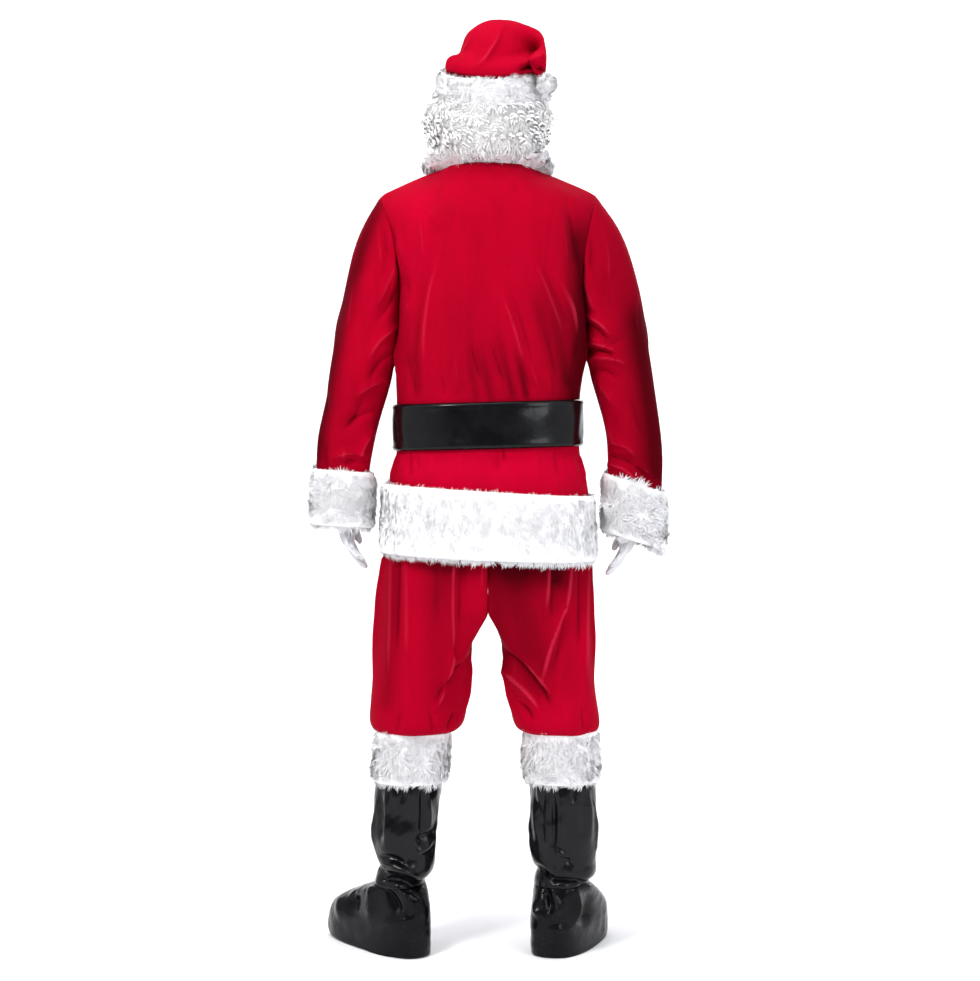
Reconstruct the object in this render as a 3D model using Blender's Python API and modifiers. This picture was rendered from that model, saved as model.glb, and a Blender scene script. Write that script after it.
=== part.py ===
"""A santa suit in the shape it keeps when worn: hat, wig, jacket, belt, trousers, boot covers, gloves.

Metres, +Z up. The suit faces -Y and the wearer's left is +X. Every piece is modelled at its height
above the floor, and the empty that carries them all moves the middle of the neck base to the origin.
"""

import math
from collections import namedtuple

import bmesh
import bpy
from mathutils import Vector

# Driving dimensions, as heights above the floor or as sizes.
NECK_BASE = 1.520  # the origin: where the jacket rests on the shoulders
SHOULDER_TIP = 1.489
NECK_SIDE = 1.542
NECK_BACK = 1.549
NECK_FRONT = 1.486
NECK_HALF_WIDTH = 0.088
NECK_DEPTH_BACK = 0.064
NECK_DEPTH_FRONT = 0.070
NECK_CURVE = 1.4  # how late the neckline leaves the height of its sides
SHOULDER_Y = 0.006  # the line of the shoulder seams
SHOULDER_LIFT = 0.002  # how far a shoulder's slope is rounded up
ARMPIT = 1.300
BELT_MIDDLE = 1.043
BELT_WIDTH = 0.090
CROTCH = 0.672
WAIST = 1.015
ANKLE = 0.135

# Thicknesses and gaps.
SEAM_GAP = 0.0003
CLOTH = 0.0018
BOOT_CLOTH = 0.0016
STRAP = 0.0030
PLUSH = 0.016  # backing and pile together
GLOVE_WALL = 0.0012

# Mesh densities.
BACK_COLUMNS = 18
FRONT_COLUMNS = 9
LOWER_HEIGHTS = (0.905, 0.928, 0.950, 0.970, 0.988, 1.043, 1.098, 1.122, 1.155, 1.200, 1.250)
ARMHOLE_ROWS = 8
SLEEVE_HEAD_ROWS = 5
SLEEVE_LOWER_ROWS = 8
RISE_ROWS = 6
OUTSIDE_COLUMNS = 17
INSEAM_COLUMNS = 4

Ring = namedtuple("Ring", "height left right back front")
TORSO = (
    Ring(0.900, 0.1965, 0.1975, 0.148, 0.154),
    Ring(0.950, 0.1890, 0.1895, 0.136, 0.145),
    Ring(0.988, 0.178, 0.178, 0.123, 0.132),
    Ring(1.098, 0.178, 0.178, 0.123, 0.132),
    Ring(1.140, 0.180, 0.186, 0.133, 0.141),
    Ring(1.220, 0.172, 0.189, 0.141, 0.144),
    Ring(1.300, 0.170, 0.188, 0.143, 0.142),
    Ring(1.360, 0.190, 0.200, 0.141, 0.134),
    Ring(1.420, 0.206, 0.212, 0.134, 0.118),
    Ring(1.480, 0.226, 0.230, 0.120, 0.096),
    Ring(1.560, 0.236, 0.240, 0.100, 0.086),
)
TORSO_SQUARENESS = 2.35

Armhole = namedtuple("Armhole", "height left right")
ARMHOLE = (
    Armhole(1.300, 0.170, 0.188),
    Armhole(1.345, 0.172, 0.184),
    Armhole(1.400, 0.182, 0.190),
    Armhole(1.450, 0.197, 0.201),
    Armhole(1.489, 0.211, 0.214),
)
SHOULDER_ROUND = 0.105  # how far down from its top a shoulder is rounded
BELT_HOLDS = 0.052  # the belt presses the cloth flat this far from its middle line
HEM_HOLDS = 0.915  # the hem band holds the folds back below this height
HOLD_FADE = 0.030  # the height over which a fold comes back
HELD_FOLD = 0.35  # what is left of a fold's rise inside the hem band

Fold = namedtuple("Fold", "face x_start z_start x_end z_end width rise")
JACKET_FOLDS = (
    Fold("back", -0.014, 1.340, -0.083, 1.130, 0.022, -0.0060),
    Fold("back", 0.022, 1.330, -0.022, 1.110, 0.024, 0.0045),
    Fold("back", 0.086, 1.413, 0.112, 1.270, 0.020, -0.0050),
    Fold("back", -0.155, 1.470, -0.182, 1.290, 0.018, -0.0060),
    Fold("back", -0.120, 1.440, -0.150, 1.280, 0.022, 0.0045),
    Fold("back", 0.150, 1.290, 0.096, 1.110, 0.020, 0.0060),
    Fold("back", -0.180, 1.235, -0.120, 1.105, 0.020, 0.0060),
    Fold("back", 0.062, 1.180, 0.058, 1.085, 0.014, 0.0060),
    Fold("back", -0.055, 1.170, -0.052, 1.085, 0.014, 0.0050),
    Fold("back", 0.120, 0.998, 0.130, 0.900, 0.020, 0.0070),
    Fold("back", 0.048, 1.000, 0.050, 0.900, 0.022, 0.0050),
    Fold("back", -0.040, 1.000, -0.046, 0.900, 0.020, 0.0060),
    Fold("back", -0.118, 1.000, -0.132, 0.900, 0.020, 0.0070),
    Fold("front", 0.150, 1.280, 0.085, 1.110, 0.022, 0.0060),
    Fold("front", -0.165, 1.260, -0.095, 1.105, 0.022, 0.0060),
    Fold("front", 0.110, 1.420, 0.120, 1.240, 0.022, -0.0050),
    Fold("front", -0.105, 1.420, -0.125, 1.230, 0.022, -0.0050),
    Fold("front", 0.120, 1.000, 0.135, 0.900, 0.020, 0.0070),
    Fold("front", -0.115, 1.000, -0.130, 0.900, 0.020, 0.0070),
)

Sleeve = namedtuple("Sleeve", "height inner outer depth_back depth_front slant")
SLEEVE_LEFT = (
    Sleeve(1.235, 0.1785, 0.292, 0.066, 0.066, 0.020),
    Sleeve(1.170, 0.1830, 0.307, 0.062, 0.066, 0.014),
    Sleeve(1.110, 0.1960, 0.317, 0.055, 0.068, 0.008),
    Sleeve(1.050, 0.2130, 0.328, 0.044, 0.070, 0.004),
    Sleeve(1.000, 0.2260, 0.338, 0.035, 0.073, 0.004),
    Sleeve(0.938, 0.2340, 0.340, 0.026, 0.076, 0.004),
)
SLEEVE_RIGHT = (
    Sleeve(1.235, 0.1945, 0.307, 0.066, 0.066, 0.020),
    Sleeve(1.170, 0.1965, 0.318, 0.062, 0.066, 0.012),
    Sleeve(1.110, 0.2100, 0.329, 0.055, 0.068, 0.000),
    Sleeve(1.050, 0.2230, 0.340, 0.044, 0.070, -0.012),
    Sleeve(1.000, 0.2330, 0.346, 0.035, 0.073, -0.018),
    Sleeve(0.915, 0.2345, 0.342, 0.026, 0.076, -0.020),
)
SLEEVE_FOLDS_LEFT = (
    Fold("back", 0.200, 1.300, 0.262, 1.240, 0.016, -0.0050),
    Fold("back", 0.196, 1.180, 0.250, 1.120, 0.018, 0.0060),
    Fold("back", 0.222, 1.095, 0.290, 1.060, 0.015, -0.0050),
    Fold("back", 0.240, 1.010, 0.310, 1.000, 0.014, 0.0040),
    Fold("front", 0.200, 1.180, 0.270, 1.150, 0.018, 0.0060),
    Fold("front", 0.230, 1.080, 0.300, 1.060, 0.016, -0.0050),
)
SLEEVE_FOLDS_RIGHT = (
    Fold("back", -0.205, 1.310, -0.262, 1.250, 0.016, -0.0050),
    Fold("back", -0.205, 1.205, -0.262, 1.235, 0.016, 0.0060),
    Fold("back", -0.215, 1.175, -0.285, 1.150, 0.015, -0.0060),
    Fold("back", -0.235, 1.080, -0.300, 1.030, 0.016, 0.0050),
    Fold("front", -0.210, 1.190, -0.280, 1.170, 0.018, 0.0060),
    Fold("front", -0.240, 1.080, -0.310, 1.060, 0.016, -0.0050),
)

Leg = namedtuple("Leg", "height outer inner back front")
LEG_LEFT = (
    Leg(0.395, 0.193, 0.103, 0.045, 0.045),
    Leg(0.424, 0.198, 0.098, 0.049, 0.049),
    Leg(0.4375, 0.212, 0.083, 0.064, 0.064),
    Leg(0.4405, 0.225, 0.062, 0.081, 0.081),
    Leg(0.453, 0.236, 0.045, 0.094, 0.094),
    Leg(0.490, 0.234, 0.040, 0.095, 0.094),
    Leg(0.530, 0.230, 0.036, 0.094, 0.092),
    Leg(0.580, 0.226, 0.034, 0.096, 0.096),
    Leg(0.630, 0.222, 0.020, 0.104, 0.104),
    Leg(0.670, 0.219, 0.006, 0.114, 0.110),
    Leg(0.702, 0.217, 0.000, 0.126, 0.116),
    Leg(0.780, 0.207, 0.000, 0.136, 0.122),
    Leg(0.880, 0.190, 0.000, 0.130, 0.124),
    Leg(0.990, 0.168, 0.000, 0.110, 0.118),
    Leg(1.015, 0.166, 0.000, 0.108, 0.116),
)
LEG_RIGHT = (
    Leg(0.395, 0.188, 0.098, 0.045, 0.045),
    Leg(0.424, 0.193, 0.093, 0.049, 0.049),
    Leg(0.4375, 0.207, 0.078, 0.064, 0.064),
    Leg(0.4405, 0.217, 0.062, 0.080, 0.080),
    Leg(0.455, 0.224, 0.049, 0.090, 0.090),
    Leg(0.500, 0.215, 0.042, 0.089, 0.090),
    Leg(0.530, 0.211, 0.036, 0.089, 0.090),
    Leg(0.580, 0.208, 0.029, 0.092, 0.094),
    Leg(0.630, 0.205, 0.016, 0.102, 0.102),
    Leg(0.670, 0.203, 0.005, 0.114, 0.110),
    Leg(0.702, 0.202, 0.000, 0.126, 0.116),
    Leg(0.780, 0.199, 0.000, 0.136, 0.122),
    Leg(0.880, 0.188, 0.000, 0.130, 0.124),
    Leg(0.990, 0.168, 0.000, 0.110, 0.118),
    Leg(1.015, 0.166, 0.000, 0.108, 0.116),
)
LEG_HEIGHTS = (0.395, 0.424, 0.4375, 0.4405, 0.454, 0.485, 0.530, 0.575, 0.620, 0.662)
RISE_START = 0.702  # where the centre seam turns under, above the crotch's lowest point
PARTING = 0.575  # below this height the legs are round tubes of their own
OUTSIDE_SPREAD = math.radians(150)  # how far round a leg its outside reaches, each way from its outer side
SEAM_HOLDS = 0.03  # a fold fades out this near to the centre seam
LEG_FOLDS = (
    Fold("back", 0.065, 0.790, 0.065, 0.590, 0.016, 0.0100),
    Fold("back", 0.068, 0.580, 0.118, 0.462, 0.016, 0.0090),
    Fold("back", 0.042, 0.580, 0.108, 0.480, 0.014, -0.0080),
    Fold("back", 0.130, 0.760, 0.135, 0.520, 0.022, 0.0060),
    Fold("back", 0.190, 0.740, 0.195, 0.500, 0.018, 0.0050),
    Fold("back", -0.116, 0.775, -0.108, 0.654, 0.016, 0.0080),
    Fold("back", -0.159, 0.770, -0.146, 0.650, 0.015, -0.0080),
    Fold("back", -0.146, 0.650, -0.104, 0.520, 0.016, 0.0100),
    Fold("back", -0.186, 0.760, -0.190, 0.500, 0.016, 0.0060),
    Fold("back", -0.046, 0.572, -0.084, 0.522, 0.016, -0.0110),
    Fold("back", -0.084, 0.522, -0.124, 0.486, 0.016, -0.0110),
    Fold("front", 0.120, 0.780, 0.125, 0.520, 0.022, 0.0080),
    Fold("front", 0.060, 0.640, 0.110, 0.500, 0.018, -0.0080),
    Fold("front", -0.115, 0.780, -0.112, 0.530, 0.022, 0.0080),
    Fold("front", -0.060, 0.630, -0.110, 0.500, 0.018, -0.0080),
)

# Profiles round a plush band's section: share of its height, share of its depth.
BandCorner = namedtuple("BandCorner", "height depth")
PLUSH_SECTION = (
    BandCorner(0.00, 0.0),
    BandCorner(0.00, 0.6),
    BandCorner(0.14, 1.0),
    BandCorner(0.86, 1.0),
    BandCorner(1.00, 0.6),
    BandCorner(1.00, 0.0),
)


# ---------------------------------------------------------------- reading the tables


def smooth(table, column, place):
    """A column of a table at a place along its first column, through its rows and without overshoot."""
    rows = sorted(table)
    places = [row[0] for row in rows]
    values = [getattr(row, column) for row in rows]
    if place <= places[0]:
        return values[0]
    if place >= places[-1]:
        return values[-1]
    step = [(values[i + 1] - values[i]) / (places[i + 1] - places[i]) for i in range(len(rows) - 1)]
    slopes = [0.0] * len(rows)
    slopes[0], slopes[-1] = step[0], step[-1]
    for i in range(1, len(rows) - 1):
        if step[i - 1] * step[i] > 0:
            slopes[i] = 2 * step[i - 1] * step[i] / (step[i - 1] + step[i])
    i = max(n for n in range(len(rows) - 1) if places[n] <= place)
    width = places[i + 1] - places[i]
    t = (place - places[i]) / width
    return (
        values[i] * (1 + 2 * t) * (1 - t) ** 2
        + slopes[i] * width * t * (1 - t) ** 2
        + values[i + 1] * t * t * (3 - 2 * t)
        + slopes[i + 1] * width * t * t * (t - 1)
    )


def signed_power(value, power):
    return math.copysign(abs(value) ** power, value)


def ring_point(left, right, back, front, angle, squareness=2.0, middle_y=0.0):
    """A point of a rounded ring, with X limits `left` and `right`; angle 0 is +X, 90 degrees the back."""
    middle_x = (left + right) / 2
    half = (left - right) / 2
    depth = back if math.sin(angle) > 0 else front
    return Vector((
        middle_x + half * signed_power(math.cos(angle), 2 / squareness),
        middle_y + depth * signed_power(math.sin(angle), 2 / squareness),
        0.0,
    ))


def fold_rise(folds, face, x, z):
    """How far the folds push the cloth out at a place on its back or front."""
    total = 0.0
    for fold in folds:
        if fold.face != face:
            continue
        run_x, run_z = fold.x_end - fold.x_start, fold.z_end - fold.z_start
        along = ((x - fold.x_start) * run_x + (z - fold.z_start) * run_z) / (run_x**2 + run_z**2)
        along = min(1.0, max(0.0, along))
        away = math.hypot(x - fold.x_start - along * run_x, z - fold.z_start - along * run_z)
        total += fold.rise * math.exp(-((away / fold.width) ** 2))
    return total


def folded(point, folds, middle):
    """The point moved out from the middle of its ring by the folds on its face, less towards the sides."""
    out = Vector((point.x - middle.x, point.y - middle.y, 0.0))
    facing = abs(out.normalized().y)
    face = "back" if out.y > 0 else "front"
    free = 1.0
    if folds is JACKET_FOLDS:
        free = min(1.0, max(0.0, (abs(point.z - BELT_MIDDLE) - BELT_HOLDS) / HOLD_FADE))
        loose = min(1.0, max(0.0, (point.z - HEM_HOLDS) / HOLD_FADE))
        free *= HELD_FOLD + (1 - HELD_FOLD) * loose
    rise = fold_rise(folds, face, point.x, point.z) * min(1.0, 1.6 * facing) * free
    return point + out.normalized() * rise


# ---------------------------------------------------------------- building meshes


def material(name, colour, roughness, metallic=0.0):
    made = bpy.data.materials.new(name)
    made.use_nodes = True
    shader = made.node_tree.nodes["Principled BSDF"]
    shader.inputs["Base Color"].default_value = (*colour, 1.0)
    shader.inputs["Roughness"].default_value = roughness
    shader.inputs["Metallic"].default_value = metallic
    return made


def add_object(name, mesh, surface):
    mesh.materials.append(surface)
    mesh.shade_smooth()
    made = bpy.data.objects.new(name, mesh)
    suit.objects.link(made)
    made.parent = carrier
    return made


def mesh_of(name, points, faces):
    """A welded mesh of faces, each of them corners of `points`, with its faces turned to agree."""
    mesh = bpy.data.meshes.new(name)
    mesh.from_pydata([tuple(point) for point in points], [], faces)
    welded = bmesh.new()
    welded.from_mesh(mesh)
    bmesh.ops.remove_doubles(welded, verts=welded.verts, dist=0.00002)
    bmesh.ops.recalc_face_normals(welded, faces=welded.faces)
    welded.to_mesh(mesh)
    welded.free()
    return mesh


def grid_faces(rows, columns, closed, first=0):
    """The quads of a grid of points listed row by row; a closed grid joins its last column to its first."""
    reach = columns if closed else columns - 1
    faces = []
    for row in range(rows - 1):
        for column in range(reach):
            after = (column + 1) % columns
            low = first + row * columns
            high = low + columns
            faces.append((low + column, low + after, high + after, high + column))
    return faces


def wall(name, mesh, thickness, outward_point, surface, grow_out):
    """A cloth piece: an open surface, turned to face away from `outward_point`, and its thickness."""
    first = mesh.polygons[len(mesh.polygons) // 2]
    if first.normal.dot(first.center - outward_point) < 0:
        mesh.flip_normals()
    made = add_object(name, mesh, surface)
    solid = made.modifiers.new("thickness", "SOLIDIFY")
    solid.thickness = thickness
    solid.offset = 1.0 if grow_out else -1.0
    solid.use_even_offset = False
    return made


def grid_wall(name, rows, thickness, surface, middle, closed=False, grow_out=False):
    points = [point for row in rows for point in row]
    mesh = mesh_of(name, points, grid_faces(len(rows), len(rows[0]), closed))
    return wall(name, mesh, thickness, middle, surface, grow_out)


def swept_band(name, sections, surface, closed):
    """A closed solid through sections that all have the same number of corners."""
    corners = len(sections[0])
    points = [point for section in sections for point in section]
    turned = []
    count = len(sections)
    for place in range(count if closed else count - 1):
        after = (place + 1) % count
        for corner in range(corners):
            beside = (corner + 1) % corners
            turned.append((
                place * corners + corner,
                place * corners + beside,
                after * corners + beside,
                after * corners + corner,
            ))
    if not closed:
        turned.append(tuple(range(corners)))
        turned.append(tuple((count - 1) * corners + corner for corner in range(corners)))
    return add_object(name, mesh_of(name, points, turned), surface)


def plush_section(low, high, out, depth):
    """The corners of a plush band's section on the line from `low` to `high`, with its pile towards `out`."""
    return [
        low + (high - low) * corner.height + out * depth * corner.depth
        for corner in PLUSH_SECTION
    ]


# ---------------------------------------------------------------- jacket


def torso_limits(height):
    return [smooth(TORSO, column, height) for column in ("left", "right", "back", "front")]


def torso_point(angle, height, out=0.0):
    """A point of the jacket's inner surface, or of a surface `out` from it."""
    left, right, back, front = torso_limits(height)
    point = ring_point(left + out, -right - out, back + out, front + out, angle, TORSO_SQUARENESS)
    point.z = height
    return point


def seam_angle(height, side):
    """The angle from the side of the ring to the armhole seam: zero below the armpit."""
    if height <= ARMPIT:
        return 0.0
    left, right = torso_limits(height)[:2]
    middle, half = (left - right) / 2, (left + right) / 2
    reach = smooth(ARMHOLE, side, height)
    share = (reach - middle) / half if side == "left" else (reach + middle) / half
    return math.acos(min(1.0, max(0.0, share)) ** (TORSO_SQUARENESS / 2))


def top_edge(x, face):
    """The shoulder seam, or the neckline where it cuts into it, above a place across the panel."""
    tip = smooth(ARMHOLE, "left" if x > 0 else "right", SHOULDER_TIP)
    if abs(x) >= NECK_HALF_WIDTH:
        along = min(1.0, (abs(x) - NECK_HALF_WIDTH) / (tip - NECK_HALF_WIDTH))
        lift = SHOULDER_LIFT * math.sin(math.pi * along)
        return Vector((x, SHOULDER_Y, NECK_SIDE + (SHOULDER_TIP - NECK_SIDE) * along + lift))
    share = math.sqrt(1 - (x / NECK_HALF_WIDTH) ** 2)
    middle = NECK_BACK if face == "back" else NECK_FRONT
    depth = NECK_DEPTH_BACK if face == "back" else -NECK_DEPTH_FRONT
    return Vector((x, SHOULDER_Y + depth * share, NECK_SIDE + (middle - NECK_SIDE) * share**NECK_CURVE))


def panel_point(share, rise, face, start, end):
    """A point of a jacket panel.

    `share` runs across it; `rise` is a height up to the armpit, and from there on it adds 0 to 1.
    """
    sign = 1 if face == "back" else -1
    if rise < ARMPIT:
        height = rise
        point = torso_point(sign * (start + (end - start) * share), height)
    else:
        guide = ARMPIT + (SHOULDER_TIP - ARMPIT) * (rise - ARMPIT)
        open_left, open_right = seam_angle(guide, "left"), seam_angle(guide, "right")
        turn_start = start if start > 0.01 else open_left
        turn_end = end if end < math.pi - 0.01 else math.pi - open_right
        angle = turn_start + (turn_end - turn_start) * share
        across = torso_point(sign * angle, guide)
        top = top_edge(across.x, face)
        height = ARMPIT + (top.z - ARMPIT) * (rise - ARMPIT)
        under = min(1.0, (top.z - height) / SHOULDER_ROUND)
        keep = math.sqrt(1 - (1 - under) ** 2)
        point = Vector((across.x, top.y + (across.y - top.y) * keep, height))
    return folded(point, JACKET_FOLDS, Vector((0, 0, 0)))


def panel_rows(face, start, end, columns):
    rises = list(LOWER_HEIGHTS)
    rises += [ARMPIT + row / ARMHOLE_ROWS for row in range(ARMHOLE_ROWS + 1)]
    return [
        [panel_point(column / columns, rise, face, start, end) for column in range(columns + 1)]
        for rise in rises
    ]


def pulled_apart(rows, axis, by):
    """The same rows with every point moved along one axis, to open half a seam's gap."""
    move = Vector((0, 0, 0))
    move[axis] = by
    return [[point + move for point in row] for row in rows]


def build_torso(velvet):
    """Back and fronts; returns the fronts' rows, the back's top edge and the armholes for the sleeves."""
    back = pulled_apart(panel_rows("back", 0.0, math.pi, BACK_COLUMNS), 1, SEAM_GAP / 2)
    left = panel_rows("front", 0.0, math.pi / 2, FRONT_COLUMNS)
    right = panel_rows("front", math.pi / 2, math.pi, FRONT_COLUMNS)
    left = pulled_apart(pulled_apart(left, 1, -SEAM_GAP / 2), 0, SEAM_GAP / 2)
    right = pulled_apart(pulled_apart(right, 1, -SEAM_GAP / 2), 0, -SEAM_GAP / 2)
    middle = Vector((0, 0, 1.1))
    grid_wall("jacket_back", back, CLOTH, velvet, middle, grow_out=True)
    grid_wall("jacket_front_left", left, CLOTH, velvet, middle, grow_out=True)
    grid_wall("jacket_front_right", right, CLOTH, velvet, middle, grow_out=True)
    return left, right, back[-1], {
        "left": armhole_loop([row[:2] for row in back], [row[:2] for row in left]),
        "right": armhole_loop([row[:-3:-1] for row in back], [row[:-3:-1] for row in right]),
    }


def armhole_loop(back, front):
    """(point, outward normal) round an armhole: up its back from the armpit, then down its front.

    `back` and `front` hold a panel's edge point and the point beside it, in every row.
    """
    edges = []
    for rows in (back[len(LOWER_HEIGHTS):], front[len(LOWER_HEIGHTS):]):
        edge = []
        for index, (point, beside) in enumerate(rows):
            below, above = rows[max(0, index - 1)][0], rows[min(len(rows) - 1, index + 1)][0]
            normal = (point - beside).cross(above - below).normalized()
            if normal.dot(point - Vector((0, 0, point.z - 0.08))) < 0:
                normal.negate()
            edge.append((point, normal))
        edges.append(edge)
    back_edge, front_edge = edges
    shared = [
        ((a[0] + b[0]) / 2, (a[1] + b[1]).normalized())
        for a, b in ((back_edge[0], front_edge[0]), (back_edge[-1], front_edge[-1]))
    ]
    return [shared[0], *back_edge[1:-1], shared[1], *reversed(front_edge[1:-1])]


def sleeve_ring(table, height, angles, folds, sign):
    """One ring of a sleeve. Angle 0 is its outer side and the back is at 90 degrees."""
    inner, outer, back, front, slant = (smooth(table, c, height) for c in Sleeve._fields[1:])
    ring = []
    for angle in angles:
        point = ring_point(outer, inner, back, front, angle)
        # The ring leans with the arm, so that it crosses the sleeve squarely.
        point.z = height + slant * math.cos(angle)
        middle = Vector(((inner + outer) / 2 * sign, 0, 0))
        ring.append(folded(Vector((point.x * sign, point.y, point.z)), folds, middle))
    return ring


SEAM_EASE = 2.2 * SEAM_GAP  # from an armhole's edge to the sleeve's
TIP_EASE = 0.0014  # more of it at the shoulder's tip, where the sleeve turns down
HEAD_OUT = (0.10, 0.58)  # how far a sleeve heads outwards from its seam, at the armpit and more at the tip
HEAD_DOWN = (-0.95, 0.26)  # how far it heads down, in the same way
HEAD_MIDDLE = 0.04  # the head's folds rise from a line this far outside the armhole


def build_sleeve(side, armhole, table, folds, velvet):
    """A sleeve from the armhole, whose points it follows, over the shoulder's head and down to its end."""
    sign = 1 if side == "left" else -1
    count = len(armhole)
    tip = count // 2
    angles = [math.pi * (1 - index / tip) for index in range(count)]
    # The sleeve's outer face starts level with the panels' outer face, a seam's gap away from their edge.
    start = []
    for (point, normal), angle in zip(armhole, angles):
        ease = SEAM_EASE + TIP_EASE * (1 + math.cos(angle)) / 2
        start.append(point + normal * CLOTH + Vector((sign * ease, 0, 0)))
    middle = sum(start, Vector((0, 0, 0))) / count
    heights = [row.height for row in table]
    first = sleeve_ring(table, heights[0], angles, (), sign)
    second = sleeve_ring(table, heights[0] - 0.03, angles, (), sign)
    rows = []
    for row in range(SLEEVE_HEAD_ROWS):
        t = row / SLEEVE_HEAD_ROWS
        ring = []
        for index, angle in enumerate(angles):
            low, high = first[index], start[index]
            reach = (low - high).length
            outer = (1 + math.cos(angle)) / 2
            out, down = HEAD_OUT[0] + HEAD_OUT[1] * outer, HEAD_DOWN[0] + HEAD_DOWN[1] * outer
            leave = Vector((sign * out, 0.0, down)).normalized()
            arrive = (second[index] - low).normalized()
            point = (
                high * (1 + 2 * t) * (1 - t) ** 2
                + leave * reach * t * (1 - t) ** 2
                + low * t * t * (3 - 2 * t)
                + arrive * reach * t * t * (t - 1)
            )
            if t > 0:
                point = folded(point, folds, Vector((middle.x + sign * HEAD_MIDDLE, 0, 0)))
            ring.append(point)
        rows.append(ring)
    for row in range(SLEEVE_LOWER_ROWS + 1):
        height = heights[0] + (heights[-1] - heights[0]) * row / SLEEVE_LOWER_ROWS
        rows.append(sleeve_ring(table, height, angles, folds, sign))
    core = sum(rows[-1], Vector((0, 0, 0))) / count
    grid_wall("jacket_sleeve_" + side, rows, CLOTH, velvet, core, closed=True)


def plush_ring(name, angles, low, high, depth, surface, closed=True):
    """A plush band round a tube. `low` and `high` give its carrier's points, standing off by a seam's gap."""
    middle = sum((low(angle) for angle in angles), Vector((0, 0, 0))) / len(angles)
    sections = []
    for angle in angles:
        bottom, top = low(angle), high(angle)
        before, after = low(angle - 0.02), low(angle + 0.02)
        out = (after - before).cross(top - bottom).normalized()
        if out.dot(bottom - middle) < 0:
            out.negate()
        sections.append(plush_section(bottom, top, out, depth))
    return swept_band(name, sections, surface, closed)


def turns(count, start=0.0, end=2 * math.pi, closed=True):
    steps = count if closed else count - 1
    return [start + (end - start) * index / steps for index in range(count)]


HEM_FUR_TOP = 0.920
HEM_FUR_BOTTOM = 0.784
HEM_SLANT = 0.042  # rise for each metre towards the wearer's left
HEM_TOP_SLANT = 0.062
HEM_PLUSH = 0.0105
HEM_OFF = CLOTH + SEAM_GAP + 0.0054  # from the jacket's inner surface to the band's, over the folds
HEM_FLARE = 0.004
HEM_STEPS = 46
FRONT_OPENING = math.radians(2.0)  # half the angle that the hem band leaves open at the front


def build_hem_fur(plush):
    """The band that the jacket's end is sewn into: it goes on down past the cloth's own edge."""

    def edge(height, flare, slant):
        def point(angle):
            found = torso_point(angle, max(height, LOWER_HEIGHTS[0]), HEM_OFF + flare)
            found.z = height + slant * found.x
            return found

        return point

    front = -math.pi / 2
    angles = turns(HEM_STEPS, front + FRONT_OPENING, front + 2 * math.pi - FRONT_OPENING, closed=False)
    low, high = edge(HEM_FUR_BOTTOM, HEM_FLARE, HEM_SLANT), edge(HEM_FUR_TOP, 0.0, HEM_TOP_SLANT)
    plush_ring("jacket_hem_fur", angles, low, high, HEM_PLUSH, plush, closed=False)


PRESSED = 0.0037  # the placket's thickness where the belt holds it down
PlacketRow = namedtuple("PlacketRow", "row depth")
# Places along the fronts' rows, a share of the way between two of them where one isn't whole.
PLACKET_ENDS = (
    PlacketRow(0.86, PLUSH),
    PlacketRow(1, PLUSH),
    PlacketRow(2, PLUSH),
    PlacketRow(3, PLUSH),
    PlacketRow(3.7, PLUSH * 0.8),
    PlacketRow(4, PRESSED),
    PlacketRow(5, PRESSED),
    PlacketRow(6, PRESSED),
    PlacketRow(6.5, PLUSH * 0.8),
)
PLACKET_LAST_ROW = 17
PLACKET_OFF = CLOTH + SEAM_GAP + 0.0005
PLACKET_EDGE = 0.6  # the depth of its edges as a share of its middle's
PLACKET_ROUND = 0.35  # how far in from an edge the full depth starts


def build_placket(left_rows, right_rows, plush):
    """The strip over the front closure, laid on the fronts' own points and pressed flat under the belt."""
    lines = [
        [row[1] for row in right_rows],
        [(a[-1] + b[0]) / 2 for a, b in zip(left_rows, right_rows)],
        [row[-2] for row in left_rows],
    ]
    places = [*PLACKET_ENDS, *(PlacketRow(row, PLUSH) for row in range(7, PLACKET_LAST_ROW + 1))]
    sections = []
    for place in places:
        low = int(place.row)
        share = place.row - low
        rise = lines[1][low + 1] - lines[1][low - 1 if low else 0]
        out = Vector((0, -rise.z, rise.y)).normalized()
        off = out * PLACKET_OFF
        right, middle, left = (line[low].lerp(line[low + 1], share) + off for line in lines)
        sections.append([
            right,
            right + out * place.depth * PLACKET_EDGE,
            right.lerp(middle, PLACKET_ROUND) + out * place.depth,
            left.lerp(middle, PLACKET_ROUND) + out * place.depth,
            left + out * place.depth * PLACKET_EDGE,
            left,
            middle,
        ])
    swept_band("jacket_placket", sections, plush, closed=False)


CollarRow = namedtuple("CollarRow", "forward lean width depth")
# Round the neck: `forward` is 0 behind it, 0.5 at its sides and 1 in front. Degrees of lean from upright.
COLLAR = (
    CollarRow(0.00, 3, 0.024, 0.009),
    CollarRow(0.19, 8, 0.020, 0.009),
    CollarRow(0.30, 80, 0.032, 0.011),
    CollarRow(0.50, 84, 0.040, 0.014),
    CollarRow(0.75, 80, 0.054, 0.018),
    CollarRow(1.00, 92, 0.062, 0.018),
)
COLLAR_OPENING = math.radians(9)
COLLAR_STEPS = 28


def on_edge(edge, x):
    """The point at a place across a panel on the broken line of its top points."""
    line = sorted(edge, key=lambda point: point.x)
    for low, high in zip(line, line[1:]):
        if low.x <= x <= high.x:
            return low.lerp(high, (x - low.x) / max(1e-6, high.x - low.x))
    return line[-1].copy()


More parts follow.
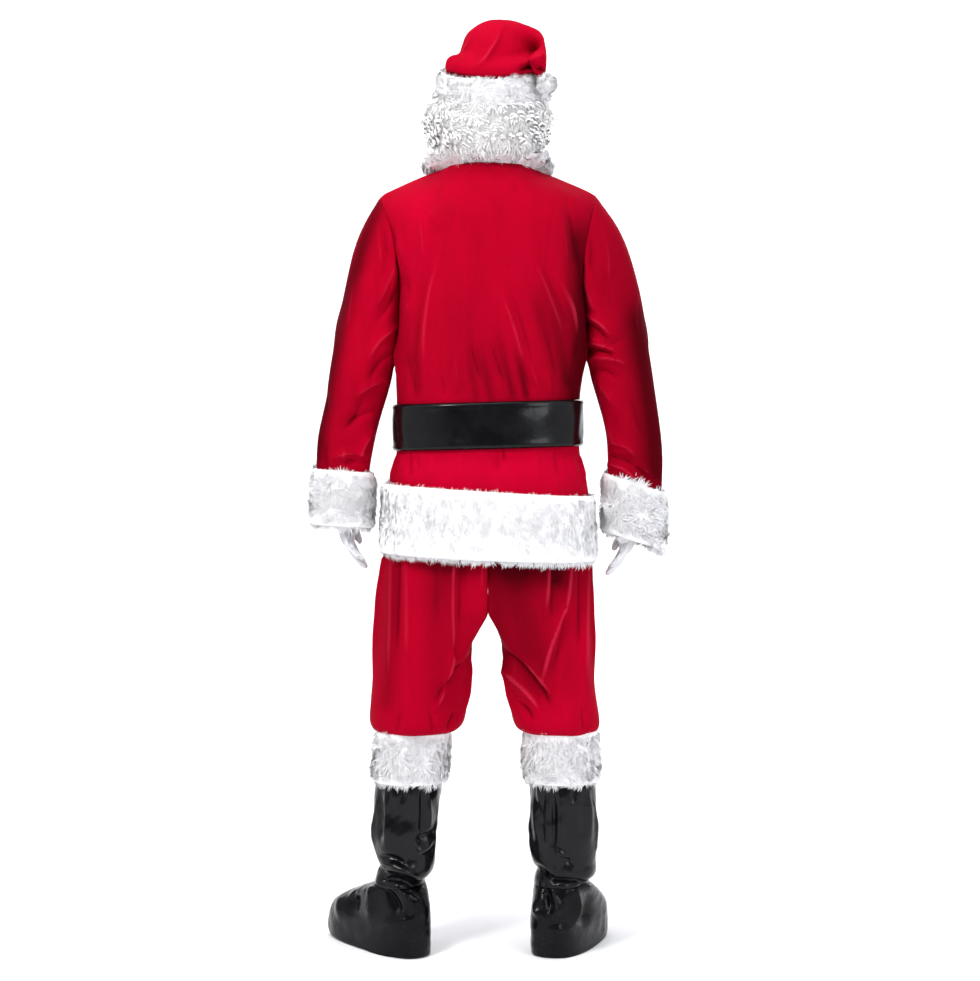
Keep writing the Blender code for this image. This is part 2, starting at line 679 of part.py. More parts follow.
def build_collar(back_edge, front_edge, plush):
    """A plush band sewn to the neckline: upright behind the neck, turned out over shoulders and chest."""
    sections = []
    front = -math.pi / 2
    ends = front + COLLAR_OPENING, front + 2 * math.pi - COLLAR_OPENING
    for angle in turns(COLLAR_STEPS, *ends, closed=False):
        x = (NECK_HALF_WIDTH - 0.001) * math.cos(angle)
        face, edge = ("back", back_edge) if math.sin(angle) > 0 else ("front", front_edge)
        root = top_edge(x, face)
        root.z = max(root.z, on_edge(edge, x).z) + CLOTH + 2 * SEAM_GAP
        away = Vector((math.cos(angle), math.sin(angle) * 0.9, 0)).normalized()
        forward = (1 - math.sin(angle)) / 2
        lean, width, depth = (smooth(COLLAR, column, forward) for column in CollarRow._fields[1:])
        lean = math.radians(lean)
        along = away * math.sin(lean) + Vector((0, 0, math.cos(lean)))
        out = Vector((0, 0, math.sin(lean))) - away * math.cos(lean)
        sections.append(plush_section(root, root + along * width, out, depth))
    swept_band("jacket_collar", sections, plush, closed=False)


# `off` is the distance from the sleeve's outer face to the cuff's inner one, at the cuff's top.
Cuff = namedtuple("Cuff", "top bottom off")
CUFFS = {"left": Cuff(0.956, 0.842, 0.0016), "right": Cuff(0.932, 0.812, 0.0011)}
CUFF_PLUSH = 0.0118
CUFF_OFF_BOTTOM = 0.0035
CUFF_STEPS = 16


def build_cuff(side, table, plush):
    sign = 1 if side == "left" else -1
    cuff = CUFFS[side]

    def edge(height, off):
        def point(angle):
            found = sleeve_ring(table, height, [angle], (), sign)[0]
            middle = (smooth(table, "inner", height) + smooth(table, "outer", height)) / 2 * sign
            out = Vector((found.x - middle, found.y, 0)).normalized()
            return found + out * off

        return point

    low, high = edge(cuff.bottom, CUFF_OFF_BOTTOM), edge(cuff.top, cuff.off)
    plush_ring("jacket_cuff_" + side, turns(CUFF_STEPS), low, high, CUFF_PLUSH, plush)


# ---------------------------------------------------------------- belt

BELT_SLANT = -0.027  # fall for each metre towards the wearer's left
BELT_OFF = CLOTH + PRESSED + 3 * SEAM_GAP + 0.0002
STRAP_STEPS = 52
STRAP_START = math.radians(262)
STRAP_OVERLAP = math.radians(28)
STRAP_CLIMB = math.radians(14)  # where, before the lap, the strap starts to rise over its own start
STRAP_CLIMB_LENGTH = math.radians(11)
BUCKLE_SPAN = math.radians(17.5)  # half its width, seen from above
BUCKLE_BAR = 0.016
BUCKLE_HEIGHT = 0.106
BUCKLE_PRONG = 0.008
BUCKLE_THICK = 0.004
BUCKLE_HALF_WIDTH = 0.055
PRONG_PLATE = 0.35  # half the width of the window's middle columns, as a share of the buckle's half


def belt_point(angle, height, off):
    point = torso_point(angle, BELT_MIDDLE, BELT_OFF + off)
    point.z = height + BELT_SLANT * point.x
    return point


def build_belt(leather, metal):
    """The strap laps over its own start at the front, inside the buckle's frame."""
    total = 2 * math.pi + STRAP_OVERLAP
    sections = []
    for index in range(STRAP_STEPS):
        turn = total * index / (STRAP_STEPS - 1)
        climb = min(1.0, max(0.0, (turn - 2 * math.pi + STRAP_CLIMB) / STRAP_CLIMB_LENGTH))
        off = climb * (STRAP + 2 * SEAM_GAP)
        angle = STRAP_START + turn
        low, high = BELT_MIDDLE - BELT_WIDTH / 2, BELT_MIDDLE + BELT_WIDTH / 2
        sections.append([
            belt_point(angle, low, off),
            belt_point(angle, high, off),
            belt_point(angle, high, off + STRAP),
            belt_point(angle, low, off + STRAP),
        ])
    swept_band("belt_strap", sections, leather, closed=False)
    front = math.radians(270)
    off = 2 * STRAP + 5 * SEAM_GAP
    half = BUCKLE_HEIGHT / 2
    bar = BUCKLE_BAR / BUCKLE_HALF_WIDTH
    spans = [-1, -1 + bar, -PRONG_PLATE, 0, PRONG_PLATE, 1 - bar, 1]
    levels = [-half, -half + BUCKLE_BAR, -BUCKLE_PRONG / 2, BUCKLE_PRONG / 2, half - BUCKLE_BAR, half]
    points = [
        belt_point(front + span * BUCKLE_SPAN, BELT_MIDDLE + level, off)
        for level in levels
        for span in spans
    ]
    window = {(row, column) for row in (1, 3) for column in range(1, 5)}
    faces = [
        face
        for number, face in enumerate(grid_faces(len(levels), len(spans), closed=False))
        if (number // (len(spans) - 1), number % (len(spans) - 1)) not in window
    ]
    mesh = mesh_of("belt_buckle", points, faces)
    wall("belt_buckle", mesh, BUCKLE_THICK, Vector((0, 0, BELT_MIDDLE)), metal, grow_out=True)


# ---------------------------------------------------------------- trousers


def leg_point(table, share, height, sign, inseam):
    """A point of a leg. `share` runs round its outside, front seam to back seam, or along the inseam side."""
    outer, inner, back, front = (smooth(table, column, height) for column in Leg._fields[1:])
    joined = min(1.0, max(0.0, (height - PARTING) / (RISE_START - PARTING)))
    joined = joined * joined * (3 - 2 * joined)
    if inseam:
        angle = OUTSIDE_SPREAD + 2 * (math.pi - OUTSIDE_SPREAD) * share
        hang = Vector((0, back + (-front - back) * share, 0))
        hang.z = -(RISE_START - CROTCH) * (1 - (2 * share - 1) ** 2)
        if height < RISE_START:
            hang.z = 0.0
    else:
        angle = OUTSIDE_SPREAD * (2 * share - 1)
        around = -math.pi / 2 + math.pi * share
        hang = ring_point(outer, -outer, back, front, around, 2.2)
    round_leg = ring_point(outer, inner, back, front, angle)
    point = round_leg.lerp(hang, joined)
    point.z += height
    middle = Vector(((outer + inner) / 2 * (1 - joined) * sign, 0, 0))
    point.x *= sign
    near_seam = min(1.0, abs(point.x) / SEAM_HOLDS) if height > PARTING else 1.0
    moved = folded(point, LEG_FOLDS, middle)
    point = point.lerp(moved, near_seam)
    point.x = sign * max(0.0005, point.x * sign)
    return point


def build_leg(side, table, velvet):
    sign = 1 if side == "left" else -1
    heights = [*LEG_HEIGHTS, RISE_START]
    points = []
    columns = OUTSIDE_COLUMNS + INSEAM_COLUMNS
    for height in heights:
        for column in range(OUTSIDE_COLUMNS):
            points.append(leg_point(table, column / OUTSIDE_COLUMNS, height, sign, False))
        for column in range(INSEAM_COLUMNS):
            points.append(leg_point(table, column / INSEAM_COLUMNS, height, sign, True))
    faces = grid_faces(len(heights), columns, closed=True)
    first = len(points)
    for row in range(RISE_ROWS + 1):
        height = RISE_START + (WAIST - RISE_START) * row / RISE_ROWS
        for column in range(OUTSIDE_COLUMNS):
            points.append(leg_point(table, column / OUTSIDE_COLUMNS, height, sign, False))
        points.append(leg_point(table, 0.0 if row == 0 else 1.0, height, sign, row == 0))
    faces += grid_faces(RISE_ROWS + 1, OUTSIDE_COLUMNS + 1, closed=False, first=first)
    mesh = mesh_of("trouser_leg_" + side, points, faces)
    wall("trouser_leg_" + side, mesh, CLOTH, Vector((sign * 0.11, 0, 0.70)), velvet, grow_out=False)


WAISTBAND_WIDTH = 0.032
WAISTBAND_THICK = 0.003


def build_waistband(velvet):
    """An elastic casing that stands on both legs' waist edges."""
    sections = []
    for angle in turns(32):
        row = LEG_LEFT[-1]
        point = ring_point(row.outer, -row.outer, row.back, row.front, angle, 2.2)
        out = Vector((point.x, point.y, 0)).normalized()
        low = point + Vector((0, 0, WAIST + 2 * SEAM_GAP)) - out * 0.0005
        rise, deep = Vector((0, 0, WAISTBAND_WIDTH)), out * WAISTBAND_THICK
        sections.append([low - deep, low, low + rise, low + rise - deep])
    swept_band("trouser_waistband", sections, velvet, closed=True)


# ---------------------------------------------------------------- boot covers

Shaft = namedtuple("Shaft", "height outer inner back front")
SHAFTS = {
    "left": (
        Shaft(0.135, 0.226, 0.117, 0.056, 0.066),
        Shaft(0.160, 0.221, 0.109, 0.058, 0.060),
        Shaft(0.190, 0.222, 0.104, 0.062, 0.060),
        Shaft(0.240, 0.226, 0.106, 0.064, 0.060),
        Shaft(0.300, 0.226, 0.095, 0.064, 0.060),
        Shaft(0.350, 0.219, 0.089, 0.063, 0.060),
        Shaft(0.428, 0.213, 0.083, 0.063, 0.063),
    ),
    "right": (
        Shaft(0.135, 0.206, 0.091, 0.056, 0.066),
        Shaft(0.160, 0.213, 0.090, 0.058, 0.060),
        Shaft(0.190, 0.214, 0.085, 0.062, 0.060),
        Shaft(0.240, 0.214, 0.084, 0.064, 0.060),
        Shaft(0.300, 0.214, 0.083, 0.064, 0.060),
        Shaft(0.350, 0.212, 0.080, 0.063, 0.060),
        Shaft(0.428, 0.208, 0.078, 0.063, 0.063),
    ),
}
SHAFT_HEIGHTS = (0.1353, 0.158, 0.180, 0.205, 0.235, 0.270, 0.310, 0.345, 0.385, 0.428)
SHAFT_FOLDS = {
    "left": (
        Fold("back", 0.100, 0.255, 0.150, 0.300, 0.014, 0.0040),
        Fold("back", 0.108, 0.215, 0.215, 0.190, 0.010, -0.0050),
        Fold("back", 0.140, 0.240, 0.225, 0.225, 0.012, 0.0030),
        Fold("front", 0.110, 0.200, 0.220, 0.185, 0.014, -0.0045),
        Fold("front", 0.120, 0.280, 0.210, 0.240, 0.014, 0.0035),
    ),
    "right": (
        Fold("back", -0.130, 0.200, -0.155, 0.175, 0.012, -0.0050),
        Fold("back", -0.090, 0.165, -0.205, 0.158, 0.010, 0.0035),
        Fold("back", -0.150, 0.330, -0.170, 0.250, 0.014, 0.0030),
        Fold("front", -0.100, 0.200, -0.210, 0.185, 0.014, -0.0045),
        Fold("front", -0.110, 0.280, -0.200, 0.240, 0.014, 0.0035),
    ),
}
BOOT_FUR_TOP = 0.4364
BOOT_FUR_BOTTOM = 0.339
BOOT_PLUSH = 0.0145
BOOT_FUR_OFF_TOP = 0.0010  # from the shaft to the fur's inner face
BOOT_FUR_OFF_BOTTOM = 0.0016

Foot = namedtuple("Foot", "heel_x heel_y turned_out length half_width")
FEET = {
    "left": Foot(0.129, 0.060, math.radians(38), 0.285, 0.055),
    "right": Foot(0.113, 0.060, math.radians(22), 0.262, 0.058),
}
FootRow = namedtuple("FootRow", "height toe heel")
FOOT_ROWS = (
    FootRow(0.1347, 0.00, 0.00),
    FootRow(0.1250, 0.16, 0.30),
    FootRow(0.1130, 0.38, 0.64),
    FootRow(0.1000, 0.62, 0.90),
    FootRow(0.0820, 0.85, 1.04),
    FootRow(0.0540, 0.98, 1.08),
    FootRow(0.0240, 1.03, 1.05),
    FootRow(0.0050, 1.00, 0.99),
    FootRow(0.0022, 0.90, 0.86),
)
FOOT_SQUARENESS = 2.7
TOE_WIDER = 0.08  # how much wider the toe is than the middle
SAG, SAG_HEIGHT, SAG_REACH = 0.010, 0.095, 0.02  # the cover hangs slack at both sides, round this height
FOOT_COLUMNS = 18


def shaft_point(side, angle, height, off=0.0):
    table = SHAFTS[side]
    sign = 1 if side == "left" else -1
    outer, inner, back, front = (smooth(table, column, height) for column in Shaft._fields[1:])
    point = ring_point(outer + off, inner - off, back + off, front + off, angle, 2.1)
    point.z = height
    point.x *= sign
    middle = Vector(((outer + inner) / 2 * sign, 0, 0))
    fade = min(1.0, max(0.0, (height - ANKLE) / 0.02))
    return point.lerp(folded(point, SHAFT_FOLDS[side], middle), fade)


def build_boot(side, leather, plush):
    sign = 1 if side == "left" else -1
    angles = turns(18)
    rows = [[shaft_point(side, angle, height) for angle in angles] for height in SHAFT_HEIGHTS]
    table = SHAFTS[side]
    middle_x = sign * (table[0].outer + table[0].inner) / 2
    core = Vector((middle_x, 0, 0.27))
    grid_wall("boot_shaft_" + side, rows, BOOT_CLOTH, leather, core, closed=True)

    def low(angle):
        return shaft_point(side, angle, BOOT_FUR_BOTTOM, BOOT_FUR_OFF_BOTTOM)

    def high(angle):
        return shaft_point(side, angle, BOOT_FUR_TOP, BOOT_FUR_OFF_TOP)

    plush_ring("boot_fur_" + side, angles, low, high, BOOT_PLUSH, plush)
    build_foot(side, leather)


def build_foot(side, leather):
    """The shoe's cover: from the ankle's ring out to the sole's outline, its edge turned in underneath."""
    sign = 1 if side == "left" else -1
    foot = FEET[side]
    toe_way = Vector((sign * math.sin(foot.turned_out), -math.cos(foot.turned_out), 0))
    across = Vector((-toe_way.y, toe_way.x, 0))
    heel = Vector((sign * foot.heel_x, foot.heel_y, 0))
    outline_middle = heel + toe_way * (foot.length / 2)
    rows = []
    for row in FOOT_ROWS:
        ring = []
        for angle in turns(FOOT_COLUMNS):
            heading = toe_way * math.cos(angle) + across * math.sin(angle)
            # The ankle's point that faces the same way as the outline's.
            ankle = shaft_point(side, math.atan2(heading.y, heading.x * sign), ANKLE)
            ankle.z = 0.0
            forward = (1 + math.cos(angle)) / 2
            half = foot.half_width * (1 + TOE_WIDER * math.cos(angle))
            ahead = foot.length / 2 * signed_power(math.cos(angle), 2 / FOOT_SQUARENESS)
            aside = half * signed_power(math.sin(angle), 2 / FOOT_SQUARENESS)
            edge = outline_middle + toe_way * ahead + across * aside
            share = row.heel + (row.toe - row.heel) * forward**1.3
            point = ankle.lerp(edge, share)
            sag = SAG * math.exp(-(((row.height - SAG_HEIGHT) / SAG_REACH) ** 2)) * abs(math.sin(angle))
            point.z = row.height - sag
            ring.append(point)
        rows.append(ring)
    core = outline_middle + Vector((0, 0, 0.03))
    grid_wall("boot_foot_" + side, rows, BOOT_CLOTH, leather, core, closed=True)


# ---------------------------------------------------------------- hat and wig

HAT_TILT = -0.33  # fall for each metre towards the back: the hat is pushed down behind
HatRing = namedtuple("HatRing", "height left right depth tilt")
HAT_BASE = (
    HatRing(1.724, 0.0800, 0.1000, 0.0975, 1.0),
    HatRing(1.746, 0.0825, 0.1015, 0.0985, 0.8),
    HatRing(1.757, 0.0760, 0.0950, 0.0970, 0.4),
)
FLOP_X, FLOP_Z = -0.0955, 1.762  # the crease that the crown falls over
Flop = namedtuple("Flop", "turned near far depth middle_y")
HAT_FLOP = (
    Flop(0, 0.0040, 0.1555, 0.093, 0.000),
    Flop(12, 0.0040, 0.1480, 0.088, 0.000),
    Flop(23, 0.0040, 0.1360, 0.078, 0.002),
    Flop(37, 0.0045, 0.1114, 0.064, 0.006),
    Flop(58, 0.0045, 0.0751, 0.046, 0.014),
    Flop(83, 0.0045, 0.0475, 0.031, 0.030),
    Flop(117, 0.0040, 0.0350, 0.023, 0.048),
    Flop(150, 0.0030, 0.0255, 0.016, 0.062),
)
HatTail = namedtuple("HatTail", "height x y radius")
HAT_TAIL = (
    HatTail(1.752, -0.1030, 0.073, 0.0115),
    HatTail(1.740, -0.1020, 0.081, 0.0090),
    HatTail(1.7290, -0.1040, 0.085, 0.0045),
)
POMPOM = Vector((-0.1125, 0.0866, 1.7070))
POMPOM_RADIUS = 0.0225
BAND_TOP, BAND_BOTTOM = 1.734, 1.684
HAT_COLUMNS = 20


def hat_base_point(row, angle):
    point = ring_point(row.left, -row.right, row.depth, row.depth, angle)
    point.z = row.height + HAT_TILT * point.y * row.tilt
    return point


def build_hat(velvet, plush):
    angles = turns(HAT_COLUMNS)
    rows = [[hat_base_point(row, angle) for angle in angles] for row in HAT_BASE]
    for row in HAT_FLOP:
        tilt = math.radians(row.turned)
        away = Vector((math.cos(tilt), 0, math.sin(tilt)))
        ring = []
        for angle in angles:
            reach = row.near + (row.far - row.near) * (1 + math.cos(angle)) / 2
            point = Vector((FLOP_X, row.middle_y, FLOP_Z)) + away * reach
            point.y += row.depth * math.sin(angle)
            ring.append(point)
        rows.append(ring)
    for row in HAT_TAIL:
        middle = Vector((row.x, row.y, row.height))
        # Past the crease the ring has turned over, so it runs the other way in X.
        rows.append([
            middle + Vector((-math.cos(angle), math.sin(angle), 0)) * row.radius for angle in angles
        ])
    points = [point for row in rows for point in row]
    faces = grid_faces(len(rows), HAT_COLUMNS, closed=True)
    last = len(points) - HAT_COLUMNS
    faces.append(tuple(range(last, last + HAT_COLUMNS)))
    mesh = mesh_of("hat_crown", points, faces)
    fix_facing(mesh, Vector((0, 0, 1.70)), Vector((0.08, 0, 1.75)))
    made = add_object("hat_crown", mesh, velvet)
    solid = made.modifiers.new("thickness", "SOLIDIFY")
    solid.thickness = CLOTH
    solid.offset = -1.0

    def band_edge(height, grow):
        def point(angle):
            left, right, depth = 0.0835 + grow, 0.1025 + grow * 0.5, 0.1000 + grow
            found = ring_point(left, -right, depth, depth, angle)
            found.z = height + HAT_TILT * found.y
            return found

        return point

    low, high = band_edge(BAND_BOTTOM, 0.010), band_edge(BAND_TOP, 0.0)
    plush_ring("hat_band", turns(26), low, high, 0.0155, plush)
    ball = bmesh.new()
    bmesh.ops.create_icosphere(ball, subdivisions=2, radius=POMPOM_RADIUS)
    mesh = bpy.data.meshes.new("hat_pompom")
    ball.to_mesh(mesh)
    ball.free()
    made = add_object("hat_pompom", mesh, plush)
    made.location = POMPOM


def fix_facing(mesh, inside, near):
    """Turns a surface so that the face nearest to `near` looks away from `inside`."""
    nearest = min(mesh.polygons, key=lambda face: (face.center - near).length)
    if nearest.normal.dot(nearest.center - inside) < 0:
        mesh.flip_normals()


WigRow = namedtuple("WigRow", "height side back wall")
WIG_ROWS = (
    WigRow(1.582, 0.101, 0.107, 0.010),
    WigRow(1.592, 0.110, 0.114, 0.017),
    WigRow(1.610, 0.117, 0.120, 0.021),
    WigRow(1.630, 0.122, 0.122, 0.022),
    WigRow(1.652, 0.119, 0.120, 0.021),
    WigRow(1.670, 0.108, 0.112, 0.014),
    WigRow(1.682, 0.0918, 0.0985, 0.006),
    WigRow(1.702, 0.0888, 0.0955, 0.004),
)
WIG_COLUMNS = 22
WIG_ENDS = math.radians(-42), math.radians(222)  # the face is open between them
CURL_RISE, CURLS_ROUND, CURLS_UP = 0.0035, 7, 190


def wig_point(angle, row, inside):
    """A point of the hair, lumpy outside with curls; both faces slope down behind, as the hat does."""
    curls = CURL_RISE * math.sin(CURLS_ROUND * angle + CURLS_UP * row.height)
    if row.wall < 0.012:
        curls = 0.0
    out = -row.wall if inside else curls
    point = ring_point(row.side + out, -row.side - out, row.back + out, row.back + out, angle, 2.1)
    point.z = row.height + HAT_TILT * point.y * min(1.0, max(0.0, (row.height - 1.60) / 0.07))
    return point


def build_wig(hair):
    """Closed sections from temple round to temple, with the face left open."""
    sections = []
    for angle in turns(WIG_COLUMNS, *WIG_ENDS, closed=False):
        outer = [wig_point(angle, row, False) for row in WIG_ROWS]
        inner = [wig_point(angle, row, True) for row in reversed(WIG_ROWS)]
        sections.append(outer + inner)
    swept_band("wig", sections, hair, closed=False)


# ---------------------------------------------------------------- gloves

Hand = namedtuple("Hand", "wrist_x wrist_y wrist_z lean forward")
HANDS = {
    "left": Hand(0.292, -0.017, 0.905, math.radians(-10), math.radians(2)),
    "right": Hand(0.291, -0.017, 0.890, math.radians(-12), math.radians(2)),
}
Palm = namedtuple("Palm", "along across thick")
PALM = (
    Palm(0.000, 0.037, 0.029),
    Palm(0.030, 0.033, 0.023),
    Palm(0.055, 0.040, 0.020),
    Palm(0.085, 0.043, 0.017),
    Palm(0.100, 0.040, 0.012),
)
# From the front of the hand to its back, then the thumb. Root and tip: along, across, towards the palm.
Finger = namedtuple("Finger", "name root_along root_across root_in tip_along tip_across tip_in curl radius")
FINGERS = (
    Finger("index", 0.088, 0.030, 0.000, 0.146, 0.036, 0.022, 0.006, 0.0095),
    Finger("middle", 0.092, 0.010, 0.000, 0.154, 0.012, 0.026, 0.007, 0.0098),
    Finger("ring", 0.090, -0.010, 0.000, 0.148, -0.012, 0.028, 0.008, 0.0092),
    Finger("little", 0.084, -0.029, 0.000, 0.132, -0.034, 0.026, 0.007, 0.0082),
    Finger("thumb", 0.052, 0.024, 0.002, 0.106, 0.040, 0.020, -0.004, 0.0098),
)


def body_of(name, sections):
    """A closed helper body through rings of points."""
    count = len(sections[0])
    points = [point for section in sections for point in section]
    faces = grid_faces(len(sections), count, closed=True)
    faces.append(tuple(range(count)))
    faces.append(tuple(range(len(points) - count, len(points))))
    made = bpy.data.objects.new(name, mesh_of(name, points, faces))
    helpers.objects.link(made)
    made.hide_render = True
    made.display_type = "WIRE"
    return made


def combined(first, others, operation):
    """The first body joined with, or cut by, the others; they are all used up."""
    for other in others:
        change = first.modifiers.new(other.name, "BOOLEAN")
        change.object = other
        change.operation = operation
    bpy.context.view_layer.update()
    graph = bpy.context.evaluated_depsgraph_get()
    mesh = bpy.data.meshes.new_from_object(first.evaluated_get(graph))
    first.modifiers.clear()
    first.data = mesh
    for other in others:
        bpy.data.objects.remove(other)
    return first


def hand_body(side, shrink):
    """The glove's outer form, or its hollow, `shrink` inside it and open at the wrist."""
    hand = HANDS[side]
    sign = 1 if side == "left" else -1
    along = Vector((sign * math.sin(hand.lean), -math.sin(hand.forward), -1)).normalized()
    across = Vector((0, -1, 0))
    across = (across - along * across.dot(along)).normalized()
    palmwards = along.cross(across)
    if palmwards.x * sign > 0:
        palmwards.negate()
    wrist = Vector((sign * hand.wrist_x, hand.wrist_y, hand.wrist_z))

    def place(a, b, c):
        return wrist + along * a + across * b + palmwards * c

    sections = []
    for index, row in enumerate(PALM):
        start = row.along - (0.004 if shrink and index == 0 else 0)
        end_in = shrink if index == len(PALM) - 1 else 0
        sections.append([
            place(
                start - end_in,
                (row.across - shrink) * math.cos(turn),
                (row.thick - shrink) * math.sin(turn),
            )
            for turn in turns(8)
        ])
    palm = body_of("palm", sections)
    bodies = []
    for finger in FINGERS:
        radius = finger.radius - shrink
        root = Vector((finger.root_along, finger.root_across, finger.root_in))
        tip = Vector((finger.tip_along, finger.tip_across, finger.tip_in))
        rings = []
        for share, size in ((0.0, 1.0), (0.50, 1.0), (0.88, 0.84), (1.0, 0.42)):
            middle = root.lerp(tip, share)
            middle.z -= finger.curl * math.sin(math.pi * share)
            way = (tip - root).normalized()
            reach = way * (-0.5 * shrink if share == 1.0 else 0.0)
            sideways = way.cross(Vector((0, 0, 1))).normalized()
            upward = sideways.cross(way)
            rings.append([])
            for turn in turns(6):
                around = sideways * math.cos(turn) + upward * math.sin(turn)
                rings[-1].append(place(*(middle + reach + around * radius * size)))
        bodies.append(body_of(finger.name, rings))
    return combined(palm, bodies, "UNION")


def build_glove(side, knit):
    outside, hollow = hand_body(side, 0.0), hand_body(side, GLOVE_WALL)
    made = combined(outside, [hollow], "DIFFERENCE")
    mesh = made.data
    bpy.data.objects.remove(made)
    mesh.materials.clear()
    add_object("glove_" + side, mesh, knit)


# ---------------------------------------------------------------- the whole suit


def new_collection(name):
    made = bpy.data.collections.new(name)
    bpy.context.scene.collection.children.link(made)
    return made


for leftover in list(bpy.data.objects):
    bpy.data.objects.remove(leftover)
suit = new_collection("santa_suit")
helpers = new_collection("helpers")
carrier = bpy.data.objects.new("neck_base", None)
carrier.location = (0, 0, -NECK_BASE)
suit.objects.link(carrier)

velvet_red = material("velvet_red", (0.42, 0.004, 0.018), 0.75)
plush_white = material("plush_white", (0.86, 0.85, 0.87), 0.95)
hair_white = material("hair_white", (0.84, 0.83, 0.80), 0.70)
leather_black = material("leather_black", (0.010, 0.010, 0.012), 0.32)
metal_gold = material("metal_gold", (0.80, 0.58, 0.22), 0.30, metallic=1.0)
knit_white = material("knit_white", (0.82, 0.82, 0.84), 0.85)

left_front, right_front, back_edge, armholes = build_torso(velvet_red)
build_sleeve("left", armholes["left"], SLEEVE_LEFT, SLEEVE_FOLDS_LEFT, velvet_red)
build_sleeve("right", armholes["right"], SLEEVE_RIGHT, SLEEVE_FOLDS_RIGHT, velvet_red)
build_hem_fur(plush_white)
build_placket(left_front, right_front, plush_white)
build_collar(back_edge, left_front[-1] + right_front[-1], plush_white)
build_cuff("left", SLEEVE_LEFT, plush_white)
build_cuff("right", SLEEVE_RIGHT, plush_white)
build_belt(leather_black, metal_gold)
build_leg("left", LEG_LEFT, velvet_red)
build_leg("right", LEG_RIGHT, velvet_red)
build_waistband(velvet_red)
for boot_side in ("left", "right"):
    build_boot(boot_side, leather_black, plush_white)
    build_glove(boot_side, knit_white)
build_hat(velvet_red, plush_white)
build_wig(hair_white)
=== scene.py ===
"""The looks of a santa suit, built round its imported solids.

Metres, in the solids' frame: +Z is up, the suit faces -Y, the wearer's left is +X and the origin is the middle of
the neck base. Tables give heights above the floor, as the solids' own source does.
"""

import math
from collections import namedtuple

import bmesh
import bpy
import numpy as np
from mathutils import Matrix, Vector
from mathutils.kdtree import KDTree


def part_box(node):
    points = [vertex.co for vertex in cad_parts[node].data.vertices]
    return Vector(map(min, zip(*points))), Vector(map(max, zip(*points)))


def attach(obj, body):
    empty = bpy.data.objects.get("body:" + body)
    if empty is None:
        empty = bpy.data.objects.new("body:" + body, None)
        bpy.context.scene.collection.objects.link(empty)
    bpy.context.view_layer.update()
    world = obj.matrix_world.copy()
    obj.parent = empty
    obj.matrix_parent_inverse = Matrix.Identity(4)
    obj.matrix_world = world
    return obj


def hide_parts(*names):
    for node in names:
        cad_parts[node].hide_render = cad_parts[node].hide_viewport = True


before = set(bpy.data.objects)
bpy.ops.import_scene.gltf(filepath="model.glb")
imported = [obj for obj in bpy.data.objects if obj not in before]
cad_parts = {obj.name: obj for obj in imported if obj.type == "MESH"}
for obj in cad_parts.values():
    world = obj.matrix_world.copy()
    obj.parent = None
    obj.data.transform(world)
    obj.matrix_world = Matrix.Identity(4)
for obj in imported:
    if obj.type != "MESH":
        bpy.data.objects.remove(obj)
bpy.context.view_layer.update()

FLOOR = -1.520  # the floor's place in the frame
WELD = 0.00002  # points nearer than this are one
RIM = 0.0024  # an edge shorter than this joins a wall's two faces
HEM_TURN = 0.0016  # how far a cloth's cut edge turns in
SIDES = ("left", "right")

# ---------------------------------------------------------------- numpy and mesh helpers


def vectors_of(mesh, key):
    found = np.empty(len(mesh.vertices) * 3)
    mesh.vertices.foreach_get(key, found)
    return found.reshape(-1, 3)


def points_of(mesh):
    return vectors_of(mesh, "co")


def normals_of(mesh):
    return vectors_of(mesh, "normal")


def set_points(mesh, points):
    mesh.vertices.foreach_set("co", np.asarray(points, dtype=np.float32).ravel())
    mesh.update()


def push_out(mesh, rise):
    """Moves each point along its normal."""
    set_points(mesh, points_of(mesh) + normals_of(mesh) * rise[:, None])


def smoothstep(value):
    value = np.clip(value, 0.0, 1.0)
    return value * value * (3 - 2 * value)


def bell(value, middle, width):
    return np.exp(-(((value - middle) / width) ** 2))


def ripple(points, pitch, seed, waves=7):
    """Smooth, repeatable unevenness from -1 to 1, with lumps about `pitch` apart."""
    draw = np.random.default_rng(seed)
    total = np.zeros(len(points))
    for _ in range(waves):
        way = draw.normal(size=3)
        way *= 2 * math.pi / pitch * draw.uniform(0.6, 1.3) / np.linalg.norm(way)
        total += np.sin(points @ way + draw.uniform(0, 2 * math.pi))
    return total / waves * 1.6


def tree_of(places):
    tree = KDTree(len(places))
    for index, place in enumerate(places):
        tree.insert(place, index)
    tree.balance()
    return tree


def opened(mesh):
    shape = bmesh.new()
    shape.from_mesh(mesh)
    return shape


def closed(shape, mesh):
    """Writes a bmesh to a mesh; the bmesh is used up."""
    shape.to_mesh(mesh)
    shape.free()
    return mesh


def to_mesh(name, shape):
    return closed(shape, bpy.data.meshes.new(name))


def joined(*meshes):
    shape = opened(meshes[0])
    for mesh in meshes[1:]:
        shape.from_mesh(mesh)
    return to_mesh(meshes[0].name, shape)


def linked_groups(items, neighbours):
    """Splits faces or edges into the groups that hang together."""
    left, groups = set(items), []
    while left:
        group, to_visit = set(), [left.pop()]
        while to_visit:
            item = to_visit.pop()
            group.add(item)
            for beside in neighbours(item):
                if beside in left:
                    left.remove(beside)
                    to_visit.append(beside)
        groups.append(group)
    return groups


def welded(node):
    shape = opened(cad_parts[node].data)
    bmesh.ops.remove_doubles(shape, verts=shape.verts, dist=WELD)
    return shape


def to_quads(shape):
    bmesh.ops.join_triangles(
        shape, faces=shape.faces, angle_face_threshold=math.radians(60), angle_shape_threshold=math.radians(75)
    )


